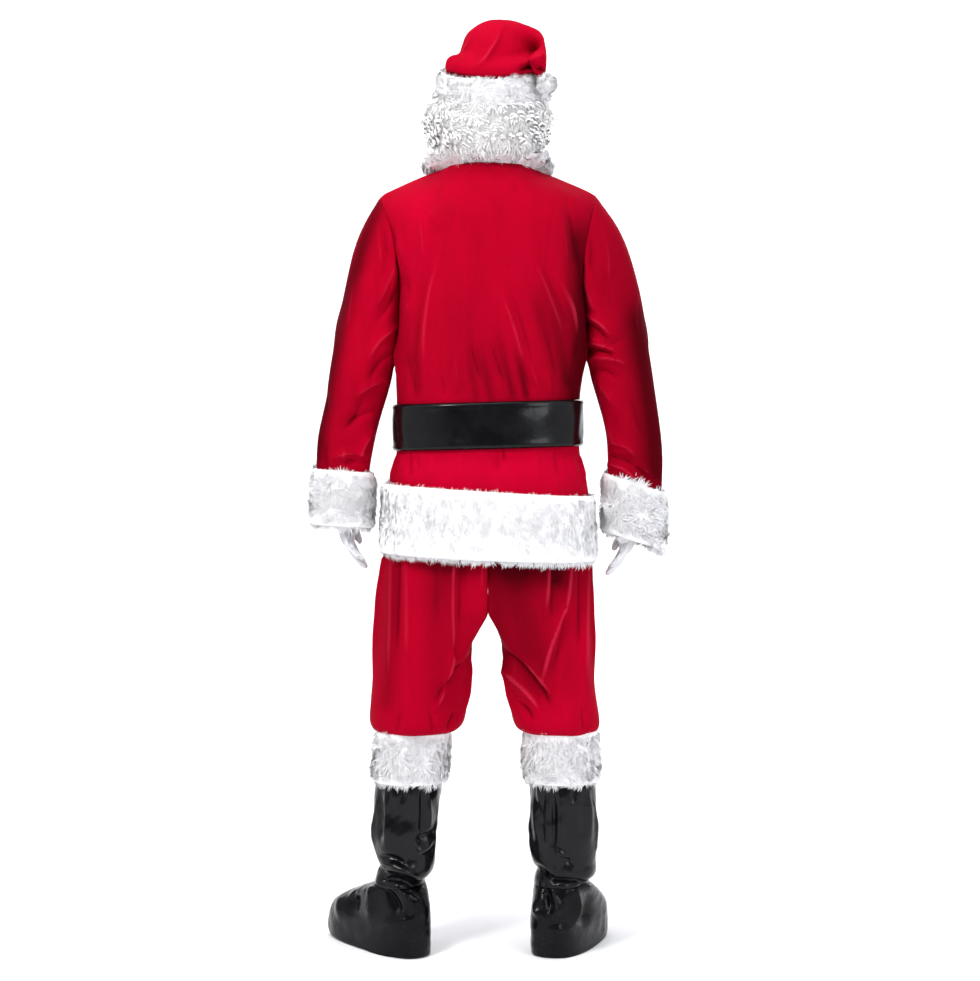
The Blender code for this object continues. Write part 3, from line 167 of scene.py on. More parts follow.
def outer_wall(node, is_rim=None, rim=RIM):
    """The outer face of a cloth solid as quads, without its inner face and its rims."""
    shape = welded(node)
    rims = [face for face in shape.faces if min(edge.calc_length() for edge in face.edges) < rim]
    if is_rim:
        rims = [face for face in rims if is_rim(face)]
    bmesh.ops.delete(shape, geom=rims, context="FACES")
    walls = linked_groups(shape.faces, lambda face: [near for edge in face.edges for near in edge.link_faces])
    walls.sort(key=lambda wall: sum(face.calc_area() for face in wall))
    bmesh.ops.delete(shape, geom=[face for wall in walls[:-1] for face in wall], context="FACES")
    to_quads(shape)
    return to_mesh(node, shape)


def shown(name, data):
    made = bpy.data.objects.new(name, data)
    bpy.context.scene.collection.objects.link(made)
    return made


def modified(mesh, name, kind, sockets=None, **settings):
    """What one modifier makes of a mesh, as a plain mesh."""
    holder = shown("in_the_making", mesh)
    modifier = holder.modifiers.new("maker", kind)
    for key, value in settings.items():
        setattr(modifier, key, value)
    for key, value in (sockets or {}).items():
        modifier[key] = value
    holder.update_tag()
    bpy.context.view_layer.update()
    graph = bpy.context.evaluated_depsgraph_get()
    made = bpy.data.meshes.new_from_object(holder.evaluated_get(graph))
    made.name = name
    bpy.data.objects.remove(holder)
    return made


def refined(mesh, levels):
    return modified(
        mesh,
        mesh.name,
        "SUBSURF",
        levels=levels,
        render_levels=levels,
        boundary_smooth="PRESERVE_CORNERS",
        uv_smooth="NONE",
    )


def smoothed(node, levels, quads=True):
    """A closed solid's own form, made smooth."""
    shape = welded(node)
    if quads:
        to_quads(shape)
    return refined(to_mesh(node, shape), levels)


def through_points(mesh, levels, rounds=4, pace=0.85):
    """A finer, smooth mesh whose surface still passes through the coarse one's own points."""
    wanted = points_of(mesh)
    guide = wanted.copy()
    for _ in range(rounds):
        trial = mesh.copy()
        set_points(trial, guide)
        finer = refined(trial, 2)
        guide += pace * (wanted - points_of(finer)[: len(wanted)])
        bpy.data.meshes.remove(finer)
        bpy.data.meshes.remove(trial)
    set_points(mesh, guide)
    return refined(mesh, levels)


def turned_in(mesh, depth=HEM_TURN):
    """Gives an open cloth's edges their thickness, by turning them in."""
    shape = opened(mesh)
    edges = [edge for edge in shape.edges if edge.is_boundary]
    away = {vert.co.to_tuple(6): vert.normal.copy() for edge in edges for vert in edge.verts}
    made = bmesh.ops.extrude_edge_only(shape, edges=edges)["geom"]
    for vert in (item for item in made if isinstance(item, bmesh.types.BMVert)):
        vert.co -= away[vert.co.to_tuple(6)] * depth
    return closed(shape, mesh)


def add_piece(name, mesh, surface, replaces=()):
    """A finished piece: smooth, with its material, riding on the suit's one body."""
    mesh.materials.clear()
    mesh.materials.append(surface)
    mesh.shade_smooth()
    made = shown(name, mesh)
    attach(made, "root")
    if replaces:
        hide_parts(*replaces)
    return made


# ---------------------------------------------------------------- creases

# A crease runs from its start to its end on one face of a piece: across is X on the back and front, and Y on the
# left and right. `bow` bends it aside, `rise` is a ridge or, below zero, a trough, and `hold` is how much of it
# is left at its start, where a seam or a belt gathers the cloth. A soft streak of painted light or shade is a crease
# too: its rise is how much painted light or, below zero, painted shade it lays there, and its hold is the share over
# which it begins.
Crease = namedtuple("Crease", "face across_start start across_end end bow width rise hold")

FULL_RISE = 0.0050  # the rise at which a crest's painted highlight, or a trough's painted shade, is full
LINE_SHARE = 0.36  # how much of a crease's width its painted highlight or painted shade takes
BEGINS, ENDS = 0.35, 0.45  # the shares of a crease over which it comes and goes
WIDENS = (0.75, 0.5)  # a crease's width at its start, and how much is added along it, as shares
TURN_SHOWS = 1.6  # how soon a crease shows fully as its cloth turns to its face
TONE_SHOWS = (1.3, 0.78)  # the same for a streak, which also goes some way round a side
TONE_ENDS = 0.6  # past its ends a streak fades at this share of the pace at which it fades aside
BEHIND = (4.2, 1.09)  # tables for the back are written as seen by an eye this far behind, at this height


def creases(face, *rows):
    """Creases on one face, from rows in millimetres with the hold as a share."""
    return tuple(Crease(face, *(value / 1000 for value in row[:-1]), row[-1]) for row in rows)


def streaks(face, *rows):
    """Soft painted light and shade streaks on one face, from rows in millimetres with the tone and hold as shares."""
    return tuple(Crease(face, *(value / 1000 for value in row[:-2]), *row[-2:]) for row in rows)


def seen(points):
    """Where each point stands across and up, as seen from behind."""
    nearer = BEHIND[0] / (BEHIND[0] - points[:, 1])
    return points[:, 0] * nearer, BEHIND[1] + (points[:, 2] - FLOOR - BEHIND[1]) * nearer


def faced(points, normals, face):
    """Where points stand across and up one face, and how much they look its way."""
    if face == "back":
        return *seen(points), normals[:, 1]
    height = points[:, 2] - FLOOR
    if face == "front":
        return points[:, 0], height, -normals[:, 1]
    return points[:, 1], height, normals[:, 0] if face == "left" else -normals[:, 0]


def along_it(crease, points, normals):
    """How far along a crease points lie, how far aside and beyond its ends, and how much they look its way."""
    across, height, toward = faced(points, normals, crease.face)
    run, climb = crease.across_end - crease.across_start, crease.end - crease.start
    length = math.hypot(run, climb)
    along = ((across - crease.across_start) * run + (height - crease.start) * climb) / length**2
    aside = ((across - crease.across_start) * climb - (height - crease.start) * run) / length
    on_it = np.clip(along, 0, 1)
    return on_it, aside - crease.bow * 4 * on_it * (1 - on_it), (along - on_it) * length, toward


def creased(points, normals, table, sharpness=2.2):
    """How far a table of creases moves each point out, and how near each point is to a crease's own line."""
    total, lines = np.zeros(len(points)), np.zeros(len(points))
    for crease in table:
        on_it, off, beyond, toward = along_it(crease, points, normals)
        away = np.hypot(off, beyond)
        fade_in = np.clip(crease.hold + (1 - crease.hold) * smoothstep(on_it / BEGINS), 0, 1)
        fade = fade_in * smoothstep((1 - on_it) / ENDS) * np.clip(TURN_SHOWS * toward, 0, 1)
        width = crease.width * (WIDENS[0] + WIDENS[1] * on_it)
        total += crease.rise * fade * np.exp(1 - np.sqrt(1 + (sharpness * away / width) ** 2))
        lines += crease.rise / FULL_RISE * fade * bell(away, 0, LINE_SHARE * width)
    return total, lines


def painted_light_and_shade(points, normals, table):
    """How much painted light or shade a cloth gets, from a table of soft streaks."""
    total = np.zeros(len(points))
    for streak in table:
        on_it, off, beyond, toward = along_it(streak, points, normals)
        begun = smoothstep(on_it / streak.hold) if streak.hold else 1.0
        turned = smoothstep(toward * TONE_SHOWS[0] + TONE_SHOWS[1])
        total += streak.rise * begun * bell(np.hypot(off, TONE_ENDS * beyond), 0, streak.width) * turned
    return np.clip(total, -1, 1)


# ---------------------------------------------------------------- materials


class Nodes:
    """A node tree that is built a node at a time."""

    def __init__(self, tree):
        self.tree = tree

    def fill(self, node, inputs):
        """Links each input that is given as a node or an output, and sets each other one's own value."""
        for key, value in inputs.items():
            if isinstance(value, bpy.types.Node):
                value = value.outputs[0]
            if isinstance(value, bpy.types.NodeSocket):
                self.tree.links.new(value, node.inputs[key])
            else:
                node.inputs[key].default_value = value

    def add(self, kind, inputs=None, **settings):
        node = self.tree.nodes.new(kind)
        for key, value in settings.items():
            setattr(node, key, value)
        self.fill(node, inputs or {})
        return node

    def vector(self, operation, *values, **inputs):
        return self.add("ShaderNodeVectorMath", dict(enumerate(values)) | inputs, operation=operation)


class Paint(Nodes):
    """A new material, built round its shader."""

    def __init__(self, name):
        self.material = bpy.data.materials.new(name)
        self.material.use_nodes = True
        super().__init__(self.material.node_tree)
        self.shader = self.tree.nodes["Principled BSDF"]

    def placed(self, stretch=(1, 1, 1)):
        """Object coordinates, stretched for a pattern."""
        coordinates = self.add("ShaderNodeTexCoord").outputs["Object"]
        return self.add("ShaderNodeMapping", {"Vector": coordinates, "Scale": stretch})

    def noise(self, where, scale, detail=3.0, roughness=0.5, distortion=0.0):
        inputs = {"Vector": where, "Scale": scale, "Detail": detail, "Roughness": roughness, "Distortion": distortion}
        return self.add("ShaderNodeTexNoise", inputs)

    def mark(self, name, output="Fac"):
        """What a piece's own attribute says."""
        return self.add("ShaderNodeAttribute", attribute_name=name).outputs[output]

    def ramp(self, source, *stops):
        """A colour ramp over a source; stops are (place, colour)."""
        made = self.add("ShaderNodeValToRGB", {"Fac": source})
        bar = made.color_ramp.elements
        for end, (place, colour) in ((bar[0], stops[0]), (bar[1], stops[-1])):
            end.position, end.color = place, (*colour, 1)
        for place, colour in stops[1:-1]:
            bar.new(place).color = (*colour, 1)
        return made

    def mixed(self, factor, first, second, blend="MIX"):
        """Two colours mixed; each may be a tuple, a node or an output."""
        made = self.add("ShaderNodeMix", data_type="RGBA", blend_type=blend, clamp_result=True)
        first, second = ((*value, 1) if isinstance(value, tuple) else value for value in (first, second))
        self.fill(made, {0: factor, 6: first, 7: second})
        return made.outputs[2]

    def spread_over(self, source, low, high):
        return self.add("ShaderNodeMapRange", {"Value": source, "To Min": low, "To Max": high})

    def share_of(self, source, low, high, most, easing="SMOOTHSTEP"):
        """How far a source is from `low` to `high`, as a share that ends at `most`."""
        inputs = {"Value": source, "From Min": low, "From Max": high, "To Max": most}
        return self.add("ShaderNodeMapRange", inputs, interpolation_type=easing)

    def bumped(self, *layers):
        """Chains bumps of (height, strength, distance) into the shader's normal."""
        below = {}
        for height, strength, distance in layers:
            inputs = {"Height": height, "Strength": strength, "Distance": distance}
            below = {"Normal": self.add("ShaderNodeBump", inputs | below)}
        self.fill(self.shader, below)

    def finished(self, **inputs):
        """Sets the shader's inputs, named with _ for a space, and gives the material."""
        self.fill(self.shader, {key.replace("_", " "): value for key, value in inputs.items()})
        return self.material


VELVET_DEEP = (0.2772, 0, 0.00924)
VELVET_MIDDLE = (0.3612, 0, 0.01344)
VELVET_BRUSHED = (0.42, 0, 0.01764)
VELVET_PAINTED_HIGHLIGHT = (0.6888, 0.03024, 0.0798)
VELVET_PAINTED_CREASE_SHADE = (0.084, 0, 0.00336)
VELVET_PAINTED_LIGHT = (0.5544, 0, 0.02856)
VELVET_SHADED = (0.0756, 0, 0.00294)
VELVET_SHEEN = (1.0, 0.02, 0.10, 1)


def velvet(name):
    """Short-pile red velvet: brushed nap streaks, a fine pile, painted trough shade and painted crest highlights."""
    paint = Paint(name)
    nap = paint.noise(paint.placed((26, 26, 4)), 1.0, 4, 0.62, 0.6)
    clouds = paint.noise(paint.placed(), 7.0, 3, 0.5, 0.4)
    pile = paint.noise(paint.placed(), 1900, 2, 0.7)
    brushed = paint.ramp(nap, (0.30, VELVET_DEEP), (0.50, VELVET_MIDDLE), (0.74, VELVET_BRUSHED))
    colour = paint.mixed(paint.spread_over(clouds, 0.25, 0.75), brushed, VELVET_MIDDLE)
    lay, fold = paint.mark("lay"), paint.mark("fold")
    # Painted light and shade: lay brightens or darkens the streaks; fold paints trough shade and crest highlights.
    for share, other in (
        (paint.share_of(lay, 0.0, 1.0, 1.0, "LINEAR"), VELVET_PAINTED_LIGHT),
        (paint.share_of(lay, 0.0, -1.0, 1.0, "LINEAR"), VELVET_SHADED),
        (paint.share_of(fold, -0.15, -1.1, 0.75), VELVET_PAINTED_CREASE_SHADE),
        (paint.share_of(fold, 0.30, 1.15, 0.36), VELVET_PAINTED_HIGHLIGHT),
    ):
        colour = paint.mixed(share, colour, other)
    speck = paint.spread_over(pile, 0.72, 1.22)
    speckled = paint.add("ShaderNodeCombineColor", {0: speck, 1: speck, 2: speck})
    paint.bumped((nap, 0.25, 0.0018), (pile, 0.45, 0.0004))
    return paint.finished(
        Base_Color=paint.mixed(1.0, colour, speckled, "MULTIPLY"),
        Roughness=paint.spread_over(nap, 0.66, 0.88),
        Specular_IOR_Level=0.02,
        Sheen_Weight=0.12,
        Sheen_Roughness=0.35,
        Sheen_Tint=VELVET_SHEEN,
    )


def coated_cloth(name, specular):
    """Glossy black imitation leather: a fine grain, small puckers and worn, duller patches."""
    paint = Paint(name)
    where = paint.placed()
    worn = paint.noise(where, 22, 4, 0.6, 0.8)
    pucker = paint.noise(paint.placed((1, 1, 0.55)), 58, 3, 0.55, 1.2)
    grain = paint.add("ShaderNodeTexVoronoi", {"Vector": where, "Scale": 950})
    paint.bumped((pucker, 0.12, 0.004), (grain, 0.10, 0.0004))
    return paint.finished(
        Base_Color=paint.ramp(worn, (0.35, (0.0018, 0.0018, 0.0022)), (0.75, (0.0045, 0.0048, 0.0062))),
        Roughness=paint.spread_over(worn, 0.14, 0.34),
        Specular_IOR_Level=specular,
        Coat_Weight=0.11,
        Coat_Roughness=0.06,
    )


def faux_fur(name, colour, shade, laid):
    """A fur strand's colour, whiter at some tufts and cooler at others, lit as much by its pile as by its own side."""
    paint = Paint(name)
    tufts = paint.noise(paint.placed(), 70, 3, 0.6)
    own = paint.add("ShaderNodeNewGeometry").outputs["Normal"]
    softened = paint.vector("MULTIPLY_ADD", paint.mark("pile_lay", "Vector"), (laid, laid, laid), own)
    return paint.finished(
        Base_Color=paint.ramp(tufts, (0.30, shade), (0.62, colour)),
        Normal=paint.vector("NORMALIZE", softened),
        Roughness=0.72,
        Specular_IOR_Level=0.22,
        Sheen_Weight=0.25,
        Sheen_Roughness=0.5,
    )


def fur_backing(name, colour):
    """What shows between the strands: a matted, lumpy pile."""
    paint = Paint(name)
    mat = paint.noise(paint.placed((1, 1, 0.35)), 420, 4, 0.65, 1.5)
    paint.bumped((mat, 0.55, 0.0025))
    tone = paint.ramp(mat, (0.35, tuple(channel * 0.90 for channel in colour)), (0.65, colour))
    return paint.finished(Base_Color=tone, Roughness=0.9, Specular_IOR_Level=0.1, Sheen_Weight=0.2)


def glove_knit(name):
    """Fine white jersey with its wales running along the fingers, and painted shade along its darts."""
    paint = Paint(name)
    inputs = {"Vector": paint.placed(), "Scale": 260, "Distortion": 0.6}
    wales = paint.add("ShaderNodeTexWave", inputs, wave_type="BANDS", bands_direction="Y").outputs["Fac"]
    courses = paint.noise(paint.placed((1, 1, 2.2)), 900, 2)
    soil = paint.noise(paint.placed(), 26, 3)
    tone = paint.ramp(soil, (0.35, (0.58, 0.58, 0.61)), (0.65, (0.74, 0.74, 0.76)))
    # Painted shade darkens the jersey along each dart's trough.
    painted_dart_shade = paint.share_of(paint.mark("fold"), -0.10, -1.0, 0.62)
    paint.bumped((wales, 0.25, 0.0005), (courses, 0.3, 0.0004))
    dark = paint.mixed(painted_dart_shade, tone, (0.20, 0.20, 0.22))
    return paint.finished(Base_Color=dark, Roughness=0.62, Specular_IOR_Level=0.35, Sheen_Weight=0.3)


def polished_metal(name):
    paint = Paint(name)
    wear = paint.noise(paint.placed(), 90, 4, 0.6)
    brushed = paint.noise(paint.placed((1, 1, 30)), 160, 2)
    tone = paint.ramp(wear, (0.3, (0.62, 0.42, 0.13)), (0.7, (0.84, 0.62, 0.25)))
    paint.bumped((brushed, 0.06, 0.0004))
    return paint.finished(Base_Color=tone, Roughness=paint.spread_over(wear, 0.18, 0.38), Metallic=1.0)


VELVET_RED = velvet("velvet_red_cloth")
GLOSS_BLACK = coated_cloth("gloss_black_coating", 0.16)
DARK_BLACK = coated_cloth("dark_black_coating", 0.07)
FUR_WHITE = faux_fur("plush_strands", (0.975, 0.97, 0.98), (0.925, 0.925, 0.945), 2.8)
FUR_BASE = fur_backing("plush_backing", (0.94, 0.935, 0.95))
HAIR_WHITE = faux_fur("curled_hair", (0.98, 0.972, 0.96), (0.95, 0.94, 0.925), 1.6)
HAIR_BASE = fur_backing("wig_backing", (0.96, 0.95, 0.94))
KNIT_WHITE = glove_knit("glove_jersey")
METAL_GOLD = polished_metal("gold_metal")


# ---------------------------------------------------------------- velvet

BACK_CREASES = (
    creases(
        "back",
        (84, 1405, 118, 1090, -20, 14, 4, 0.2), (100, 1380, 131, 1120, -18, 14, -2.6, 0.2),
        (132, 1344, 179, 1106, -8, 13, 3.8, 0.3), (150, 1300, 170, 1110, -6, 12, -3, 0.2),
        (112, 1466, 96, 1420, 0, 14, 2, 0), (138, 1470, 128, 1330, 6, 18, 2.6, 0.1),
        (196, 1440, 180, 1380, 4, 8, -3, 0.3), (186, 1425, 160, 1340, 6, 9, 2.6, 0.3),
        (180, 1352, 146, 1270, 8, 12, -2.6, 0.5), (66, 1210, 58, 1090, 0, 12, 2.8, 0),
        (41, 1220, 8, 1106, 0, 13, -4.2, 0.2), (28, 1230, 0, 1098, 4, 10, 2.8, 0.2),
        (-2, 1220, -39, 1098, 0, 11, -4.4, 0.2), (-12, 1330, -79, 1098, 10, 12, 4.2, 0.1),
        (-30, 1330, -96, 1110, 10, 14, -3, 0.1), (-62, 1180, -90, 1098, 0, 8, -4.4, 0.1),
        (-74, 1190, -104, 1098, 0, 8, 4, 0.1), (-79, 1391, -159, 1167, 6, 12, 4, 0.1),
        (-94, 1380, -172, 1180, 6, 14, -3, 0.1), (-126, 1354, -179, 1200, 4, 11, 3.4, 0.1),
        (-108, 1240, -140, 1104, 4, 11, -4, 0.1), (-149, 1315, -173, 1177, 4, 9, 2.8, 0.2),
        (-155, 1480, -172, 1340, 6, 10, -3.6, 0.3), (-142, 1450, -154, 1330, 4, 12, 2.6, 0.2),
        (86, 1094, 90, 1150, 0, 9, -3, 0.8), (146, 1094, 152, 1190, 0, 8, -3.4, 0.8),
        (-26, 1094, -20, 1140, 0, 8, 2.8, 0.8), (-122, 1094, -116, 1155, 0, 8, 3, 0.8),
        (178, 995, 186, 925, 0, 7, -3, 1), (166, 995, 170, 935, 0, 6, 2.2, 1), (152, 995, 156, 930, 0, 6, -3.4, 1),
        (138, 995, 140, 945, 0, 6, -2.6, 1), (112, 995, 112, 930, 0, 12, 2.2, 1), (58, 995, 57, 925, 0, 16, 2, 1),
        (-18, 995, -20, 940, 0, 10, -3.6, 1), (-30, 992, -34, 970, 0, 6, -5, 1), (-92, 995, -98, 925, 0, 14, 2.2, 1),
        (-130, 995, -146, 930, 0, 10, -2.4, 1), (-158, 995, -180, 925, 0, 10, 2.4, 1),
    )
    + creases(
        "left",
        (30, 1230, 60, 1098, 4, 12, 3.4, 0), (80, 1200, 90, 1098, 4, 10, -3, 0), (30, 990, 40, 920, 0, 10, 3.4, 1),
    )
    + creases(
        "right",
        (40, 1240, 50, 1098, 4, 12, 3.4, 0), (90, 1210, 80, 1098, 4, 10, -3, 0), (34, 990, 44, 920, 0, 10, 3.4, 1),
    )
)
FRONT_CREASES = (
    creases(
        "front",
        (170, 1300, 110, 1104, -10, 13, 4, 0.6), (160, 1270, 90, 1150, -8, 11, -3.6, 0.6),
        (100, 1420, 130, 1200, 10, 13, 3.4, 0.1), (150, 1450, 176, 1330, 4, 10, -3.4, 0.3),
        (76, 1200, 70, 1098, 0, 10, 3.6, 0), (100, 1098, 108, 1170, 0, 7, -3.6, 0.8),
        (136, 1098, 144, 1160, 0, 8, 3.6, 0.8), (-172, 1290, -104, 1110, 10, 13, 4, 0.6),
        (-166, 1250, -96, 1160, 8, 10, -3.6, 0.6), (-96, 1400, -134, 1190, -10, 13, 3.4, 0.1),
        (-150, 1460, -170, 1340, -4, 10, -3.4, 0.3), (-70, 1190, -74, 1098, 0, 10, 3.6, 0),
        (-110, 1098, -116, 1165, 0, 7, -3.6, 0.8), (-140, 1098, -150, 1150, 0, 8, 3.6, 0.8),
        (150, 990, 166, 920, 0, 9, 3.8, 1), (120, 990, 130, 925, 0, 8, -3.4, 1), (90, 990, 92, 925, 0, 9, 3.6, 1),
        (62, 990, 60, 935, 0, 8, -3, 1), (-66, 990, -70, 925, 0, 9, 3.6, 1), (-100, 990, -108, 925, 0, 8, -3.4, 1),
        (-134, 990, -148, 920, 0, 9, 3.8, 1),
    )
    + creases("left", (-60, 1240, -40, 1098, 4, 12, 3.4, 0))
    + creases("right", (-50, 1230, -40, 1098, 4, 12, 3.4, 0))
)
LEFT_SLEEVE_CREASES = (
    creases(
        "back",
        (204, 1440, 190, 1350, -4, 9, -3.6, 0.4), (214, 1430, 206, 1330, 0, 10, 3, 0.4),
        (180, 1380, 240, 1250, 10, 12, 3.4, 0.6), (176, 1330, 230, 1230, 8, 9, -3.6, 0.8),
        (262, 1360, 286, 1180, 6, 16, 2.6, 0), (182, 1240, 240, 1150, -10, 11, 4.2, 0.7),
        (186, 1190, 236, 1110, -10, 9, -4, 0.7), (196, 1130, 270, 1080, -12, 10, 4, 0.7),
        (240, 1110, 300, 1020, 10, 14, -3, 0), (220, 1070, 290, 1030, -8, 9, -3.8, 0.6),
        (226, 1030, 256, 960, -6, 9, 4.2, 0.5), (240, 985, 320, 968, -10, 8, 4, 0.6),
        (238, 972, 300, 958, -8, 6, -4, 0.6), (286, 955, 280, 1010, 0, 8, 3, 1), (318, 955, 322, 1020, 0, 8, -3, 1),
    )
    + creases(
        "front",
        (190, 1260, 260, 1180, -10, 12, 4.2, 0.7), (190, 1200, 250, 1130, -10, 9, -4, 0.7),
        (210, 1120, 300, 1090, -12, 10, 4.6, 0.7), (214, 1090, 290, 1050, -12, 9, -4.4, 0.7),
        (236, 1000, 320, 980, -10, 9, 4, 0.6),
    )
    + creases(
        "left",
        (0, 1120, 40, 1060, 6, 12, -3.4, 0), (-30, 1330, 10, 1180, 4, 16, 2.6, 0), (-40, 955, -40, 1030, 0, 9, -3.4, 1),
    )
)
RIGHT_SLEEVE_CREASES = (
    creases(
        "back",
        (-200, 1420, -190, 1320, 6, 10, -3.6, 0.4), (-226, 1430, -236, 1290, 4, 12, 3, 0.3),
        (-192, 1350, -226, 1240, -6, 10, 3.4, 0.6), (-194, 1262, -246, 1205, 8, 8, 5.2, 0.8),
        (-194, 1244, -240, 1190, 8, 6, -5.2, 0.8), (-196, 1226, -236, 1212, -6, 6, 4, 0.8),
        (-194, 1208, -262, 1178, 6, 9, 5.4, 0.9), (-196, 1190, -258, 1164, 10, 7, -5.6, 0.9),
        (-226, 1190, -276, 1214, 4, 9, -3.4, 0), (-200, 1172, -286, 1150, 12, 10, 5, 0.8),
        (-206, 1150, -262, 1130, 6, 7, -4.4, 0.8), (-212, 1130, -250, 1070, 4, 10, 3.6, 0.7),
        (-290, 1330, -300, 1180, -6, 16, 2.6, 0), (-226, 1080, -262, 990, -6, 12, 3.6, 0.5),
        (-280, 1120, -320, 990, -8, 16, -3, 0), (-232, 982, -326, 918, 16, 9, -6, 0.7),
        (-230, 966, -300, 915, 14, 9, 5.2, 0.8), (-262, 968, -330, 936, 8, 7, 4.6, 0.4),
        (-240, 1010, -300, 962, 12, 10, 4, 0.6),
    )
    + creases(
        "front",
        (-200, 1240, -270, 1180, 10, 11, 4.6, 0.7), (-204, 1200, -270, 1150, 10, 9, -4.4, 0.7),
        (-220, 1110, -310, 1080, 12, 10, 4.6, 0.7), (-230, 1060, -310, 1020, 12, 9, -4.4, 0.7),
        (-240, 970, -320, 950, 10, 9, 4, 0.6),
    )
    + creases(
        "right",
        (10, 1200, -40, 1150, 6, 12, -3.4, 0), (-30, 1330, 10, 1180, 4, 16, 2.6, 0),
        (-30, 935, -40, 1010, 0, 9, -3.4, 1),
    )
)
LEFT_LEG_CREASES = (
    creases(
        "back",
        (64.5, 790, 70, 560, 0, 8, 7.8, 1), (53, 790, 60, 600, 0, 12, -4, 1), (70, 585, 120, 458, 8, 9, 7, 0.9),
        (39, 580, 112, 466, -10, 9, -8.5, 0.7), (30, 620, 50, 540, -4, 12, 4, 0.2),
        (106, 790, 104, 600, 2, 26, -3, 0.8), (160, 790, 162, 520, 2, 18, 3.4, 0.8),
        (188, 790, 196, 480, 0, 12, 4, 0.9), (176, 790, 182, 540, 0, 10, -4.6, 0.9), (11, 785, 13, 700, 0, 8, 3.4, 0.8),
        (108, 440, 116, 490, 0, 8, -4, 1), (78, 440, 60, 486, 0, 8, -4.6, 1), (180, 440, 174, 480, 0, 9, -3, 1),
    )
    + creases(
        "front",
        (120, 800, 122, 520, 4, 10, 7, 0.9), (70, 780, 88, 560, 4, 10, 5, 0.8), (170, 780, 176, 520, 4, 12, 5, 0.8),
        (60, 620, 120, 480, -10, 10, -7, 0.5), (100, 445, 110, 500, 0, 7, -4, 1), (160, 445, 160, 490, 0, 8, -3.6, 1),
    )
    + creases(
        "left",
        (30, 780, 20, 520, 4, 12, 5, 0.7), (-40, 780, -34, 540, 4, 12, -4.4, 0.7), (10, 445, 14, 510, 0, 8, -4, 1),
    )
    + creases(
        "right",
        (0, 690, 0, 560, 0, 110, -6, 0.1), (20, 600, 30, 460, 6, 12, 4.4, 0.4), (-40, 600, -30, 470, 6, 12, 4.4, 0.4),
    )
)
RIGHT_LEG_CREASES = (
    creases(
        "back",
        (-118, 785, -110, 655, 3, 12, 5.6, 1), (-130, 785, -122, 640, 3, 12, -5, 1),
        (-159, 780, -148, 650, 2, 9, 7, 0.9), (-148, 680, -104, 512, -4, 10, 7.8, 0.7),
        (-166, 700, -124, 520, -4, 12, -3.6, 0.4), (-196, 780, -196, 480, -4, 10, 5.4, 0.9),
        (-182, 780, -180, 560, 0, 10, -4, 0.9), (-36, 588, -128, 478, 8, 10, -12, 0.7),
        (-30, 560, -110, 462, 10, 11, 7.6, 0.7), (-60, 590, -136, 490, 6, 11, 5, 0.3),
        (-20, 640, -60, 520, 6, 18, 3, 0.3), (-52, 500, -90, 452, 6, 8, -6, 0.4), (-2, 780, -4, 705, 0, 8, -5, 0.8),
        (-190, 445, -186, 500, 0, 9, -3, 1),
    )
    + creases(
        "front",
        (-115, 800, -112, 530, -4, 10, 7, 0.9), (-66, 780, -82, 580, -4, 10, 5, 0.8),
        (-164, 780, -168, 520, -4, 12, 5, 0.8), (-60, 610, -120, 480, 10, 10, -7, 0.5),
        (-100, 445, -104, 500, 0, 7, -4, 1), (-160, 445, -160, 490, 0, 8, -3.6, 1),
    )
    + creases("right", (30, 780, 20, 520, 4, 12, 5, 0.7), (-40, 780, -34, 540, 4, 12, -4.4, 0.7))
    + creases(
        "left",
        (0, 690, 0, 560, 0, 110, -6, 0.1), (20, 600, 30, 460, 6, 12, 4.4, 0.4), (-40, 600, -30, 470, 6, 12, 4.4, 0.4),
    )
)
CROWN_CREASES = (
    creases(
        "back",
        (-28, 1816, 34, 1724, 6, 8.5, 4.8, 0.3), (32, 1796, 80, 1746, 6, 8, 4.6, 0.3),
        (44, 1790, 70, 1740, 2, 12, -3, 0.3), (-104, 1744, -46, 1729, -3, 7.5, -9.5, 0.9),
        (-104, 1756, -44, 1738, -3, 8, 4, 0.8), (-96, 1736, -58, 1722, -3, 7, 3, 0.8),
    )
    + creases(
        "front",
        (0, 1820, 60, 1742, 4, 8, 4, 0.2), (-60, 1800, -20, 1742, 4, 8, -4, 0.2), (-100, 1780, -30, 1760, 4, 8, 4, 0.5),
    )
    + creases("left", (0, 1800, 30, 1742, 4, 8, -3.6, 0.2))
    + creases("right", (30, 1790, 0, 1742, 4, 8, 3.6, 0.2))
)

# Where painted shade darkens the velvet, and painted light brightens it.
BACK_PAINTED_SHADING = (
    streaks(
        "back",
        (-176, 1400, -180, 1100, 0, 26, -0.62, 0), (-120, 1260, -150, 1110, 0, 30, -0.3, 0),
        (40, 1230, -40, 1110, 0, 60, -0.16, 0), (-10, 1262, -48, 1104, 0, 8, -0.46, 0.7),
        (-48, 1216, -75, 1104, 0, 7.5, -0.66, 0.7), (22, 1226, -4, 1100, 0, 8.5, -0.4, 0.7),
        (46, 1212, 23, 1100, 0, 8, -0.32, 0.7), (-106, 1345, -152, 1134, 3, 9.5, -0.28, 0.7),
        (-151, 1355, -174, 1186, 2, 9, -0.2, 0.6), (-74, 1330, -112, 1220, 0, 11, -0.2, 0.6),
        (131, 1290, 138, 1110, -5, 8, -0.32, 0.6), (-160, 1465, -183, 1300, 3, 8, -0.16, 0.5),
        (150, 1460, 140, 1360, 0, 50, 0.26, 0), (120, 960, -170, 955, 0, 45, 0.34, 0),
        (190, 990, 192, 930, 0, 16, -0.4, 0),
    )
    + streaks("left", (20, 1400, 20, 1100, 0, 60, -0.4, 0))
    + streaks("right", (20, 1400, 20, 1100, 0, 60, -0.6, 0))
)
FRONT_PAINTED_SHADING = streaks(
    "front",
    (150, 1300, 140, 1110, 0, 40, -0.3, 0), (-150, 1300, -140, 1110, 0, 40, -0.3, 0),
    (110, 1420, 90, 1320, 0, 50, 0.25, 0), (-110, 1420, -90, 1320, 0, 50, 0.25, 0),
)
